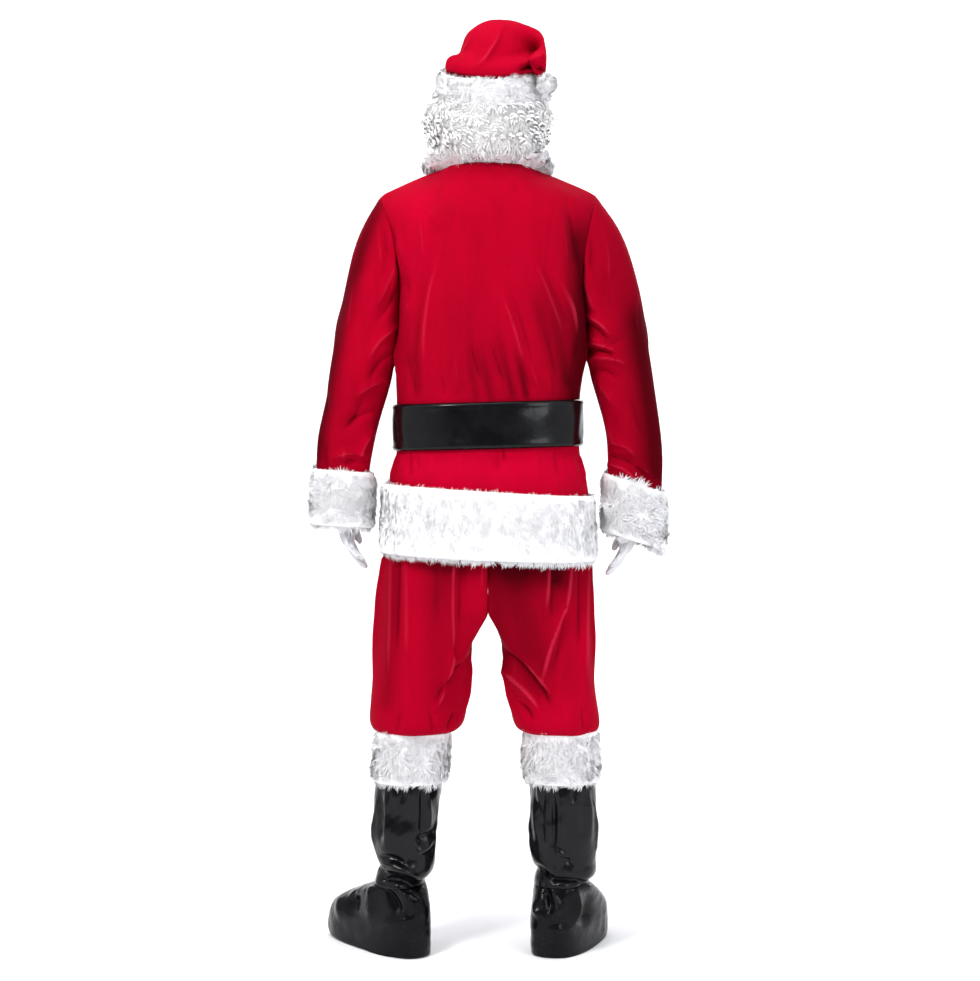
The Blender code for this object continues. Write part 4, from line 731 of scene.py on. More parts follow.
LEFT_SLEEVE_PAINTED_SHADING = (
    streaks("back", (220, 1470, 340, 980, -14, 20, -0.85, 0), (240, 1300, 252, 1180, 0, 30, 0.16, 0))
    + streaks("left", (0, 1300, 0, 980, 0, 60, -0.2, 0))
)
RIGHT_SLEEVE_PAINTED_SHADING = (
    streaks(
        "back",
        (-235, 1440, -330, 980, 14, 60, -0.34, 0), (-292, 1240, -336, 960, 6, 28, -0.6, 0),
        (-218, 1060, -236, 960, 0, 24, -0.34, 0),
    )
    + streaks("right", (0, 1300, 0, 980, 0, 60, -0.25, 0))
)
LEFT_LEG_PAINTED_SHADING = (
    streaks(
        "back",
        (30, 790, 56, 770, 0, 38, -0.5, 0), (70, 780, 110, 775, 0, 22, -0.45, 0), (100, 700, 100, 520, 0, 26, -0.26, 0),
        (186, 780, 200, 500, 0, 16, -0.36, 0),
    )
    + streaks("left", (0, 780, 0, 480, 0, 50, -0.3, 0))
)
RIGHT_LEG_PAINTED_SHADING = (
    streaks(
        "back",
        (-30, 785, -110, 770, 0, 55, -0.8, 0), (-50, 720, -80, 600, 0, 50, -0.55, 0),
        (-134, 785, -136, 740, 0, 12, -0.6, 0), (-10, 700, -30, 560, 0, 18, -0.3, 0),
        (-120, 470, -180, 480, 0, 40, 0.2, 0),
    )
    + streaks("right", (0, 780, 0, 480, 0, 50, -0.2, 0))
)
CROWN_PAINTED_SHADING = streaks("back", (20, 1770, -60, 1760, 0, 60, 0.06, 0), (60, 1790, 86, 1760, 0, 16, -0.35, 0))

# Each velvet piece: its creases, its painted light and shade, and how high and how wide its general unevenness is.
Velvet = namedtuple("Velvet", "node creases tones lumps pitch")
VELVETS = (
    Velvet("jacket_back", BACK_CREASES, BACK_PAINTED_SHADING, 0.0010, 0.075),
    Velvet("jacket_front_left", FRONT_CREASES, FRONT_PAINTED_SHADING, 0.0010, 0.075),
    Velvet("jacket_front_right", FRONT_CREASES, FRONT_PAINTED_SHADING, 0.0010, 0.075),
    Velvet("jacket_sleeve_left", LEFT_SLEEVE_CREASES, LEFT_SLEEVE_PAINTED_SHADING, 0.0014, 0.060),
    Velvet("jacket_sleeve_right", RIGHT_SLEEVE_CREASES, RIGHT_SLEEVE_PAINTED_SHADING, 0.0014, 0.060),
    Velvet("trouser_leg_left", LEFT_LEG_CREASES, LEFT_LEG_PAINTED_SHADING, 0.0014, 0.065),
    Velvet("trouser_leg_right", RIGHT_LEG_CREASES, RIGHT_LEG_PAINTED_SHADING, 0.0014, 0.065),
    Velvet("hat_crown", CROWN_CREASES, CROWN_PAINTED_SHADING, 0.0012, 0.050),
)
SEAMS = (
    ("jacket_back", "jacket_front_left"),
    ("jacket_back", "jacket_front_right"),
    ("jacket_back", "jacket_sleeve_left"),
    ("jacket_back", "jacket_sleeve_right"),
    ("jacket_front_left", "jacket_sleeve_left"),
    ("jacket_front_right", "jacket_sleeve_right"),
    ("trouser_leg_left", "trouser_leg_right"),
)
CREASE_SCALE = 1.7
BELT_HEIGHT = 1.043
BELT_PRESSES = (0.050, 0.020)  # how far from its middle the belt presses the cloth flat, and over how far it stops
BELT_CLEAR = 0.058  # the placket's tufts keep this far from the belt's middle
# How far cloth fills out to meet what it lies against: the legs, with the height and spread of where they do, and
# on the left and the right, the sleeves and the body, with the heights between which they do and their fades.
LEGS_MEET = (0.0056, 0.707, 0.030)
SLEEVES_MEET, BODY_MEETS = (0.0058, 0.0046), (0.0036, 0.0030)
ARM_LEVELS = (1.150, 0.030, 1.330, 0.040)
MEETING_TURN = 0.5  # over this much of a normal's turn the cloth starts to fill out
CROWN_BASE = (0.204, 0.33, 0.004)  # its height at the middle, how steeply it slopes down, and how near to it counts
LAP_EDGE = (1.719, 0.014, -0.006, 0.080)  # its lowest height, how far it climbs aside, its middle and its half width
TAIL_OUT = (0.098, 0.018, 0.026)  # where the hat's tail starts to hang closer in, how far out it ends, and how fast
TAIL_SAG = 0.011
LAP_DEPTH = 0.0140  # how far the crown's slack bags out over the band


def settled(height):
    """One where the cloth hangs free, and nothing where the belt presses it flat."""
    return smoothstep((np.abs(height - BELT_HEIGHT) - BELT_PRESSES[0]) / BELT_PRESSES[1])


def crown_rim(face):
    """The crown's open base, which slopes down to the back."""
    middle = face.calc_center_median()
    height, slope, near = CROWN_BASE
    return abs(middle.z - (height - slope * middle.y)) < near


def lap_edge(across):
    """How high the crown's slack droops to at the back, over the band."""
    lowest, climb, middle, half = LAP_EDGE
    return lowest + climb * ((across - middle) / half) ** 2


def lapped(points):
    """How far the crown's slack bags out over the band, at the back only."""
    across, height = seen(points)
    over = height - lap_edge(across)
    bag = smoothstep((over + 0.002) / 0.006) * (1 - smoothstep((over - 0.012) / 0.032))
    return LAP_DEPTH * bag * smoothstep((points[:, 1] - 0.015) / 0.045)


def sagged(points):
    """The hat's tail hangs close in to the band, and its tip hangs low, where the pompom is."""
    start, reach, pace = TAIL_OUT
    out = -points[:, 0]
    points[:, 0] = np.where(out > start, -(start + reach * np.tanh((out - start) / pace)), points[:, 0])
    points[:, 2] -= TAIL_SAG * smoothstep((out - 0.078) / 0.022) * smoothstep((0.228 - points[:, 2]) / 0.036)
    return points


def close_small_holes(mesh, longest=0.06):
    shape = opened(mesh)
    cut = [edge for edge in shape.edges if edge.is_boundary]
    for loop in linked_groups(cut, lambda edge: [near for vert in edge.verts for near in vert.link_edges]):
        if sum(edge.calc_length() for edge in loop) < longest:
            bmesh.ops.contextual_create(shape, geom=list(loop))
    closed(shape, mesh)


def marked(mesh, name, values):
    """Keeps one number for each point, which the material reads."""
    mesh.attributes.new(name, "FLOAT", "POINT").data.foreach_set("value", np.asarray(values, dtype=np.float32))


def billowed(node, points, normals):
    """Where the sleeves lie against the body, and the legs against each other, the cloth fills out to meet."""
    height = points[:, 2] - FLOOR
    left = points[:, 0] > 0
    inward = -np.where(left, normals[:, 0], -normals[:, 0])
    if "leg" in node:
        return LEGS_MEET[0] * bell(height, *LEGS_MEET[1:]) * smoothstep((inward - 0.2) / MEETING_TURN)
    low, low_fade, high, high_fade = ARM_LEVELS
    level = smoothstep((height - low) / low_fade) * (1 - smoothstep((height - high) / high_fade))
    if "sleeve" in node:
        return np.where(left, *SLEEVES_MEET) * level * smoothstep((inward - 0.2) / MEETING_TURN)
    return np.where(left, *BODY_MEETS) * level * smoothstep((-inward - 0.3) / MEETING_TURN)


def hang_velvet(piece):
    crown = piece.node == "hat_crown"
    mesh = outer_wall(piece.node, crown_rim if crown else None)
    close_small_holes(mesh)
    mesh = through_points(mesh, 3, 3) if crown else refined(mesh, 3)
    points, normals = points_of(mesh), normals_of(mesh)
    rise, lines = creased(points, normals, piece.creases)
    rise *= CREASE_SCALE
    if piece.node.startswith("jacket") and "sleeve" not in piece.node:
        rise *= settled(points[:, 2] - FLOOR)
    # fold places each crease's painted highlight and trough shade; lay holds the streaks' painted light and shade.
    marked(mesh, "fold", np.clip(lines, -1.2, 1.2))
    marked(mesh, "lay", painted_light_and_shade(points, normals, piece.tones))
    rise += lapped(points) if crown else billowed(piece.node, points, normals)
    rise += piece.lumps * ripple(points * (1, 1, 0.45), piece.pitch, len(piece.node))
    points = points + normals * rise[:, None]
    set_points(mesh, sagged(points) if crown else points)
    return mesh


def cut_edge(mesh, between=4):
    """The points of a cloth's cut edges, and those with more between them."""
    shape = opened(mesh)
    on_it = np.array([vert.index for vert in shape.verts if vert.is_boundary])
    edges = [[vert.co for vert in edge.verts] for edge in shape.edges if edge.is_boundary]
    dense = [start.lerp(end, step / between) for start, end in edges for step in range(between)]
    shape.free()
    return on_it, dense


SEAM_GROOVE = 0.004  # how wide a seam's own groove is


def sew(first, second, reach=0.011, spread=0.016, sunk=0.0013):
    """Draws two cloths' cut edges together where they meet, and sinks the seam a little."""
    edges = [cut_edge(mesh) for mesh in (first, second)]
    trees = [tree_of(dense) for _, dense in edges]
    moved = []
    for mesh, (on_it, _), other in zip((first, second), edges, reversed(trees)):
        points, normals = points_of(mesh), normals_of(mesh)
        seam, pulls = [], []
        for index in on_it:
            near, _, apart = other.find(points[index])
            if apart < reach:
                hold = 1 - smoothstep((apart / reach - 0.75) / 0.25)
                seam.append(points[index])
                pulls.append((np.array(near) - points[index]) * 0.5 * float(hold))
        if seam:
            close = tree_of(seam)
            for index, point in enumerate(points):
                _, which, apart = close.find(point)
                if apart < spread:
                    points[index] += pulls[which] * (1 - apart / spread) ** 2
                    points[index] -= normals[index] * sunk * math.exp(-((apart / SEAM_GROOVE) ** 2))
        moved.append(points)
    for mesh, points in zip((first, second), moved):
        set_points(mesh, points)


def hang_all(hem=0.0040):
    meshes = {piece.node: hang_velvet(piece) for piece in VELVETS}
    for first, second in SEAMS:
        sew(meshes[first], meshes[second])
    for node, mesh in meshes.items():
        add_piece("velvet_" + node, turned_in(mesh, hem), VELVET_RED, [node])


hang_all()


# ---------------------------------------------------------------- fur and hair, by Geometry Nodes


class Growth(Nodes):
    """A Geometry Nodes tree with named inputs, which plants copies of a pattern over a mesh."""

    def __init__(self, name, inputs):
        super().__init__(bpy.data.node_groups.new(name, "GeometryNodeTree"))
        sockets = self.tree.interface
        sockets.new_socket("Geometry", in_out="INPUT", socket_type="NodeSocketGeometry")
        self.identifiers = {}
        for label, value in inputs.items():
            kind = "NodeSocketInt" if isinstance(value, int) else "NodeSocketFloat"
            made = sockets.new_socket(label, in_out="INPUT", socket_type=kind)
            made.default_value = value
            self.identifiers[label] = made.identifier
        sockets.new_socket("Geometry", in_out="OUTPUT", socket_type="NodeSocketGeometry")
        self.given = self.add("NodeGroupInput").outputs

    def number(self, operation, *values):
        return self.add("ShaderNodeMath", dict(enumerate(values)), operation=operation)

    def drawn(self, low, high, **inputs):
        """Random values: vectors between two tuples, or else numbers."""
        if isinstance(low, tuple):
            return self.add("FunctionNodeRandomValue", {0: low, 1: high}, data_type="FLOAT_VECTOR").outputs[0]
        return self.add("FunctionNodeRandomValue", {2: low, 3: high} | inputs, data_type="FLOAT").outputs[1]

    def scattered(self, method, inputs):
        """Points over the mesh, which keep the way it faces for the material, and that way."""
        inputs = {"Mesh": self.given["Geometry"], "Seed": self.given["Seed"]} | inputs
        grown = self.add("GeometryNodeDistributePointsOnFaces", inputs, distribute_method=method)
        away = grown.outputs["Normal"]
        inputs = {"Geometry": grown.outputs["Points"], "Name": "pile_lay"}
        inputs["Value"] = self.vector("MULTIPLY", away, (1, 1, 0.2))
        kept = self.add("GeometryNodeStoreNamedAttribute", inputs, data_type="FLOAT_VECTOR", domain="POINT")
        return kept, away

    def planted(self, points, rotation, own_turn, pattern, surface):
        """Ends the tree: copies of a pattern on the points, each with a turn and a size of its own."""
        turn = self.drawn(tuple(-most for most in own_turn), own_turn)
        turn = self.add("FunctionNodeEulerToRotation", {0: turn})
        rotation = self.add("FunctionNodeRotateRotation", {0: rotation, 1: turn}, rotation_space="LOCAL")
        inputs = {"Points": points, "Rotation": rotation}
        inputs["Instance"] = self.add("GeometryNodeObjectInfo", {"Object": pattern}).outputs["Geometry"]
        inputs["Scale"] = self.drawn(self.given["Size Low"], self.given["Size High"])
        copies = self.add("GeometryNodeInstanceOnPoints", inputs)
        whole = self.add("GeometryNodeRealizeInstances", {"Geometry": copies})
        coated = self.add("GeometryNodeSetMaterial", {"Geometry": whole, "Material": surface})
        self.add("NodeGroupOutput", {0: coated})

    def applied(self, mesh, name, **values):
        """What the tree makes of a mesh, as a plain mesh."""
        sockets = {self.identifiers[label.replace("_", " ").title()]: value for label, value in values.items()}
        return modified(mesh, name, "NODES", sockets, node_group=self.tree)


def mesh_object(name, points, faces):
    mesh = bpy.data.meshes.new(name)
    mesh.from_pydata(points, [], faces)
    mesh.shade_smooth()
    return bpy.data.objects.new(name, mesh)


def pointing(degrees):
    return math.cos(math.radians(degrees)), math.sin(math.radians(degrees))


# One tuft is three curved blades from one root; a blade is (turn, lean, length, width), in metres and degrees.
TUFT_BLADES = ((-26, 10, 0.0170, 0.00105), (9, -6, 0.0185, 0.00095), (34, 16, 0.0150, 0.00105))
TUFT_BEND = 0.30
TUFT_ROWS = ((0.0, 1.0), (0.55, 0.85), (1.0, 0.0))  # shares of a blade's length, and of its width there


def tuft(name):
    """A tuft that grows along +Z and leans over -Y, with each blade narrowing to a point."""
    points, faces = [], []
    for turn, lean, length, width in TUFT_BLADES:
        side = Vector((*pointing(turn), 0))
        upright, aside = pointing(lean)
        first = len(points)
        for share, wide in TUFT_ROWS:
            spine = Vector((length * share * aside, -length * TUFT_BEND * share**2, length * (share - 0.2 * share**2)))
            half = side * width * wide / 2
            points += [spine - half, spine + half]
        points.pop()
        faces += [(first, first + 1, first + 3), (first, first + 3, first + 2), (first + 2, first + 3, first + 4)]
    return mesh_object(name, points, faces)


def fur_growth(name, surface):
    """Tufts over a backing: they lie along the pile's swirl and down, and stand out a little."""
    inputs = {"Tufts Per Area": 90000.0, "Seed": 1, "Downward": 0.7, "Swirl": 1.0, "Stand Out": 0.5}
    tree = Growth(name, inputs | {"Size Low": 0.75, "Size High": 1.25, "Swirl Size": 24.0})
    given = tree.given
    points, away = tree.scattered("RANDOM", {"Density": given["Tufts Per Area"]})
    where = tree.add("GeometryNodeInputPosition")
    coarse = tree.add("ShaderNodeTexNoise", {"Vector": where, "Scale": given["Swirl Size"], "Detail": 1.0})
    fine = tree.add("ShaderNodeTexNoise", {"Vector": where, "Scale": 95.0, "Detail": 2.0})
    coarse_way = tree.vector("SUBTRACT", coarse.outputs["Color"], (0.5, 0.5, 0.5))
    fine_way = tree.vector("SUBTRACT", fine.outputs["Color"], (0.5, 0.5, 0.5))
    swirl = tree.vector("MULTIPLY_ADD", fine_way, (0.75, 0.75, 0.75), coarse_way)
    swirl = tree.vector("SCALE", swirl, Scale=tree.number("MULTIPLY", given["Swirl"], 5.0))
    down = tree.add("ShaderNodeCombineXYZ", {"Z": tree.number("MULTIPLY", given["Downward"], -1.0)})
    lay = tree.vector("ADD", swirl, down)
    out_part = tree.vector("SCALE", away, Scale=tree.vector("DOT_PRODUCT", lay, away).outputs["Value"])
    flat = tree.vector("NORMALIZE", tree.vector("SUBTRACT", lay, out_part))
    loose = tree.drawn(0.6, 1.4, Seed=given["Seed"])
    lift = tree.vector("SCALE", away, Scale=tree.number("MULTIPLY", given["Stand Out"], loose))
    growing = tree.vector("NORMALIZE", tree.vector("ADD", flat, lift))
    turned = tree.add("FunctionNodeAlignRotationToVector", {"Vector": growing}, axis="Z")
    inputs = {"Rotation": turned, "Vector": away}
    sided = tree.add("FunctionNodeAlignRotationToVector", inputs, axis="Y", pivot_axis="Z")
    tree.planted(points, sided, (0.22, 0.22, 0.8), tuft("fur_tuft"), surface)
    return tree


FUR = fur_growth("fur_maker", FUR_WHITE)
FUR_VALUES = ("downward", "swirl", "stand_out", "size_low", "size_high")


def grow(mesh, name, tufts, quick_share, seed, lie):
    """Fur on a mesh: its tufts on each square metre, and how they lie: FUR_VALUES, in that order."""
    tufts_per_area = float(tufts * (1.0))
    return FUR.applied(mesh, name, tufts_per_area=tufts_per_area, seed=seed, **dict(zip(FUR_VALUES, lie)))


def emitters(mesh, keep):
    """The faces of a backing that carry fur; keep gets a face's middle and its normal."""
    shape = opened(mesh)
    bare = [face for face in shape.faces if not keep(face.calc_center_median(), face.normal)]
    bmesh.ops.delete(shape, geom=bare, context="FACES")
    return to_mesh(mesh.name + "_furred", shape)


SECTOR = math.radians(9)
EDGE_ROUND = (0.0120, 0.0032)  # how far in from its cut edge a band curves over, and how deep
FLATTER = 0.15  # how much of a backing's moves up and down is kept
# How far cut edges reach further up or down, and from how far in: the boot furs' upper, and the collar's two.
BOOT_FUR_UP, COLLAR_UP, COLLAR_DOWN = (0.0095, 0.016), (0.003, 0.010), (0.009, 0.010)
COLLAR_STANDS = 0.020  # how far the collar stands off the neck behind


def middle_of(node):
    return [(low + high) / 2 for low, high in zip(*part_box(node))]


def sectors(points, middle):
    return np.round(np.arctan2(points[:, 1] - middle[1], points[:, 0] - middle[0]) / SECTOR).astype(int)


def ends_of(points, middle):
    """How low and how high a ring reaches, at each sector on its way round."""
    around = sectors(points, middle)
    heights = {sector: points[around == sector, 2] for sector in np.unique(around)}
    return around, {sector: (found.min(), found.max()) for sector, found in heights.items()}


def reaches(points, middle):
    """How far each point of a ring lies below its top and above its bottom, there on its way round."""
    around, ends = ends_of(points, middle)
    low, high = np.array([ends[sector] for sector in around]).T
    return high - points[:, 2], points[:, 2] - low


def looking_out(where, normal, middle):
    """How much a face looks away from the upright line through a middle."""
    return normal.dot(Vector((where.x - middle[0], where.y - middle[1], 0)).normalized())


def outer_side(points, normals, middle):
    """The way from a middle to each point, level and one long, and a share that is one on a ring's outer side."""
    away = points[:, :2] - middle[:2]
    away /= np.linalg.norm(away, axis=1)[:, None]
    return away, smoothstep(np.sum(away * normals[:, :2], axis=1) * 1.5)


def backing(node, sunk, lumps=0.0010, pitch=0.030, rounded=False):
    """A fur band's own form, smoothed and sunk under the tips of its pile."""
    mesh = smoothed(node, 2)
    points, normals = points_of(mesh), normals_of(mesh)
    out = lumps * ripple(points, pitch, len(node)) - sunk
    if rounded:
        middle = middle_of(node)
        edge = np.minimum(*reaches(points, middle))
        outer = outer_side(points, normals, middle)[1]
        out -= EDGE_ROUND[1] * outer * (1 - smoothstep(edge / EDGE_ROUND[0]))
    moves = normals * out[:, None]
    moves[:, 2] *= FLATTER
    set_points(mesh, points + moves)
    return mesh


def ring_outside(node_middle):
    """Faces that look away from their ring's own middle."""
    return lambda where, normal: looking_out(where, normal, node_middle) > 0.30


def collar_outside(node_middle):
    outer = ring_outside(node_middle)
    return lambda where, normal: normal.z > -0.45 and (normal.z > 0.5 or outer(where, normal))


def placket_outside(node_middle):
    """Faces that look forward, clear of the belt."""
    return lambda where, normal: normal.y < 0.35 and abs(where.z - FLOOR - BELT_HEIGHT) > BELT_CLEAR


# Each fur band: how deep its backing lies under the pile, the tufts on each square metre, how they lie, and which
# faces carry them. Then more tufts along the edges: the band, which edge, how far in they root, how they lie (up
# where the first number is below nought), and how many more there are than on the band.
Fur = namedtuple("Fur", "node sunk tufts lie keep")
FURS = (
    Fur("jacket_hem_fur", 0.0060, 72000, (0.90, 0.70, 0.45, 0.95, 1.45), ring_outside),
    Fur("jacket_cuff_left", 0.0060, 92000, (0.45, 1.20, 0.62, 0.95, 1.50), ring_outside),
    Fur("jacket_cuff_right", 0.0060, 95000, (0.45, 1.40, 0.68, 1.00, 1.60), ring_outside),
    *(Fur("boot_fur_" + side, 0.0060, 84000, (0.45, 1.10, 0.58, 0.90, 1.40), ring_outside) for side in SIDES),
    Fur("hat_band", 0.0055, 92000, (0.35, 1.10, 0.55, 0.75, 1.20), ring_outside),
    Fur("jacket_collar", 0.0050, 84000, (0.10, 1.00, 0.60, 0.90, 1.40), collar_outside),
    Fur("jacket_placket", 0.0050, 90000, (0.80, 0.60, 0.45, 0.80, 1.20), placket_outside),
)
Fringe = namedtuple("Fringe", "node edge reach lie more")
FRINGES = (
    Fringe("jacket_hem_fur", "top", 0.010, (-0.9, 0.9, 0.35, 0.30, 0.65), 1.2),
    Fringe("jacket_hem_fur", "bottom", 0.014, (1.1, 1.2, 0.22, 0.80, 1.35), 1.0),
    Fringe("jacket_cuff_left", "top", 0.010, (-0.9, 0.9, 0.40, 0.40, 0.80), 1.2),
    Fringe("jacket_cuff_left", "bottom", 0.012, (1.0, 1.2, 0.35, 0.70, 1.20), 1.0),
    Fringe("jacket_cuff_right", "top", 0.010, (-0.9, 0.9, 0.40, 0.40, 0.80), 1.2),
    Fringe("jacket_cuff_right", "bottom", 0.012, (1.0, 1.4, 0.35, 0.80, 1.40), 1.0),
    *(Fringe("boot_fur_" + side, "top", 0.012, (-1.3, 1.0, 0.30, 0.90, 1.45), 1.6) for side in SIDES),
    *(Fringe("boot_fur_" + side, "bottom", 0.012, (1.0, 1.1, 0.30, 0.55, 1.00), 0.8) for side in SIDES),
    Fringe("hat_band", "top", 0.008, (-0.8, 0.9, 0.30, 0.30, 0.60), 1.0),
    Fringe("hat_band", "bottom", 0.014, (1.3, 0.9, 0.30, 1.20, 2.00), 1.3),
    Fringe("jacket_collar", "top", 0.012, (-1.4, 0.9, 0.25, 1.10, 1.70), 1.4),
    Fringe("jacket_collar", "bottom", 0.012, (1.2, 0.8, 0.10, 0.80, 1.30), 1.0),
)


def under_the_lap(where):
    """Whether the hat's slack lies over this place on its band."""
    across, height = seen(np.array([where]))
    return where.y > 0.045 and height[0] > lap_edge(across)[0] + 0.006


NO_ENDS = (-9.0, 9.0)  # stands for a ring's ends in a sector that holds no point of it, and so is near to nothing


def grow_fringe(fringe, fur, base, middle):
    ends = ends_of(points_of(base), middle)[1]
    top = fringe.edge == "top"

    def kept(where, normal):
        if fringe.node == "hat_band" and under_the_lap(where):
            return False
        sector = round(math.atan2(where.y - middle[1], where.x - middle[0]) / SECTOR)
        low, high = ends.get(sector, NO_ENDS)
        inside = high - where.z if top else where.z - low
        on_edge = (normal.z if top else -normal.z) > 0.3
        return inside < fringe.reach and looking_out(where, normal, middle) > (-0.05 if on_edge else 0.30)

    name = fringe.node + "_" + fringe.edge
    seed = 5 + len(fringe.node) + len(fringe.edge)
    return grow(emitters(base, kept), name, fur.tufts * fringe.more, 0.35, seed, fringe.lie)


def reshape_band(node, points, middle):
    """Boot furs and the collar reach further at their cut edges, and the collar stands off the neck behind."""
    below, above = reaches(points, middle)

    def drawn_out(inside, edge):
        return edge[0] * (1 - smoothstep(inside / edge[1]))

    if node.startswith("boot"):
        points[:, 2] += drawn_out(below, BOOT_FUR_UP)
    if node == "jacket_collar":
        points[:, 2] += drawn_out(below, COLLAR_UP) - drawn_out(above, COLLAR_DOWN)
        points[:, 1] += COLLAR_STANDS * smoothstep(points[:, 1] / 0.05) * smoothstep((points[:, 2] - 0.022) / 0.022)
    return points


def grow_fur(fur):
    middle = middle_of(fur.node)
    base = backing(fur.node, fur.sunk, rounded=fur.keep is ring_outside)
    set_points(base, reshape_band(fur.node, points_of(base), middle))
    wanted = fur.keep(middle)

    def free(where, normal):
        return wanted(where, normal) and not (fur.node == "hat_band" and under_the_lap(where))

    seed = len(fur.node) + ord(fur.node[-1])
    pile = grow(emitters(base, free), fur.node + "_pile", fur.tufts, 0.25, seed, fur.lie)
    fringes = [grow_fringe(fringe, fur, base, middle) for fringe in FRINGES if fringe.node == fur.node]
    add_piece("plush_" + fur.node, base, FUR_BASE, [fur.node])
    add_piece("strands_" + fur.node, joined(pile, *fringes), FUR_WHITE)


for band in FURS:
    grow_fur(band)


# ---------------------------------------------------------------- the wig

CURL_HEIGHT = 1.642  # ringlets hang below this height; above it the hair is brushed smooth
COMBED = (1.632, 1.685)  # heights between which the hair is combed down
RINGLET = (0.0070, 2.1, 0.0170, 0.0054)  # its radius, turns, length and lock's width
RINGLET_STEPS = 26
BRUSHED_OUT = (1.655, 0.019)  # the height and spread of the hair that is brushed out above the curls
NAPE_DROP = (0.009, 0.030)  # how much lower the cap reaches at the nape, and from how far up
NAPE_HALF = 0.040  # half the width of the nape, where the ringlets are smaller


def ringlet(name):
    """One ringlet along -Z: a flat lock wound into a loose helix that tightens to its tip."""
    radius, turns, length, width = RINGLET
    points, faces = [], []
    for step in range(RINGLET_STEPS + 1):
        share = step / RINGLET_STEPS
        turn = 2 * math.pi * turns * share
        out = Vector((math.cos(turn), math.sin(turn), 0))
        spine = out * radius * (1.0 - 0.55 * share) - Vector((0, 0, length * share**1.2))
        half = width / 2 * math.sin(math.pi * min(0.93, 0.12 + 0.88 * share)) ** 0.6
        up = (Vector((0, 0, 1)) + out * 0.35).normalized()
        points += [spine - up * half, spine + out * half * 0.55, spine + up * half]
    for low in range(0, 3 * RINGLET_STEPS, 3):
        high = low + 3
        faces += [(low, high, high + 1, low + 1), (low + 1, high + 1, high + 2, low + 2)]
    return mesh_object(name, points, faces)


def ringlet_growth(name, surface):
    """Ringlets that hang from points spread over the wig, each turned its own way."""
    tree = Growth(name, {"Spacing": 0.011, "Seed": 3, "Out": 0.003, "Size Low": 0.7, "Size High": 1.15})
    given = tree.given
    points, away = tree.scattered("POISSON", {"Density Max": 12000.0, "Distance Min": given["Spacing"]})
    lift = tree.vector("SCALE", away, Scale=given["Out"])
    lifted = tree.add("GeometryNodeSetPosition", {"Geometry": points, "Offset": lift})
    aside = tree.drawn((-0.7, -0.7, -0.5), (0.7, 0.7, 0.5))
    hanging = tree.vector("ADD", aside, (0, 0, 0.55))
    upper_end = tree.vector("NORMALIZE", tree.vector("ADD", hanging, tree.vector("SCALE", away, Scale=-0.55)))
    turned = tree.add("FunctionNodeAlignRotationToVector", {"Vector": upper_end}, axis="Z")
    tree.planted(lifted, turned, (0, 0, 3.1), ringlet("ringlet"), surface)
    return tree


WIG_STRANDS = (72000, 0.3, 77, (0.5, 1.5, 0.55, 0.7, 1.2))
WIG_FRINGE = (95000, 0.35, 31, (1.5, 1.6, 0.25, 1.1, 2.0))
WIG_COMBED = (95000, 0.35, 53, (1.2, 0.9, 0.50, 1.0, 1.5))


def wig_backing(middle):
    """The wig's cap, fuller where the hair is brushed out above the curls, and lower at the nape."""
    base = backing("wig", 0.0060, 0.0030, 0.024)
    points = points_of(base)
    away, outer = outer_side(points, normals_of(base), middle)
    brushed_out = bell(points[:, 2] - FLOOR, *BRUSHED_OUT) * outer
    points[:, :2] += away * ((0.006 + 0.008 * smoothstep(points[:, 1] / 0.08)) * brushed_out)[:, None]
    inside = points[:, 2] - points[:, 2].min()
    points[:, 2] -= NAPE_DROP[0] * smoothstep(points[:, 1] / 0.06) * (1 - smoothstep(inside / NAPE_DROP[1]))
    set_points(base, points)
    return base


def make_wig():
    middle = middle_of("wig")
    base = wig_backing(middle)
    points = points_of(base)
    above = reaches(points, middle)[1]
    rim, hem = (tree_of([point for point, edge in zip(points, above) if edge < near]) for near in (0.002, 0.016))

    def outside(where, normal):
        return looking_out(where, normal, middle) > 0.0

    def curled(at_the_nape):
        """Faces that carry ringlets, at the nape or at the sides."""

        def wanted(where, normal):
            nape = where.y > middle[1] and abs(where.x) < NAPE_HALF
            curls = where.z - FLOOR < CURL_HEIGHT and rim.find(where)[2] > 0.012
            return outside(where, normal) and curls and nape == at_the_nape

        return emitters(base, wanted)

    maker = ringlet_growth("ringlet_maker", HAIR_WHITE)
    locks = joined(
        maker.applied(curled(False), "wig_ringlets_mesh", spacing=0.0103),
        maker.applied(curled(True), "wig_nape_mesh", spacing=0.0135, size_low=0.6, size_high=0.95),
    )
    at_the_hem = emitters(base, lambda where, normal: outside(where, normal) and hem.find(where)[2] < 0.006)
    combed = emitters(base, lambda where, normal: outside(where, normal) and COMBED[0] < where.z - FLOOR < COMBED[1])
    strands = joined(
        grow(emitters(base, outside), "wig_strands_mesh", *WIG_STRANDS),
        grow(at_the_hem, "wig_fringe_mesh", *WIG_FRINGE),
        grow(combed, "wig_combed_mesh", *WIG_COMBED),
    )
    add_piece("wig_cap", base, HAIR_BASE, ["wig"])
    add_piece("wig_ringlets", locks, HAIR_WHITE)
    add_piece("wig_strands", strands, HAIR_WHITE)


make_wig()


# ---------------------------------------------------------------- belt, buckle, boots, gloves and the rest


# The belt's turned edge: each ridge's or groove's rise, its distance from the edge and its width.
BELT_EDGE = ((0.0014, 0.0042, 0.0022), (-0.0010, 0.0088, 0.0016))
BELT_WAVES = (0.0018, 0.060)  # how high and how wide the belt's unevenness is
BELT_ROUND = (0.0016, 0.0022)  # how deep and how far in its edge is rounded


def edge_distance(mesh):
    """How far each point of an open cloth lies from its nearest cut edge."""
    shape = opened(mesh)
    rim = tree_of([vert.co.copy() for vert in shape.verts if vert.is_boundary])
    shape.free()
    return np.array([rim.find(vert.co)[2] for vert in mesh.vertices])


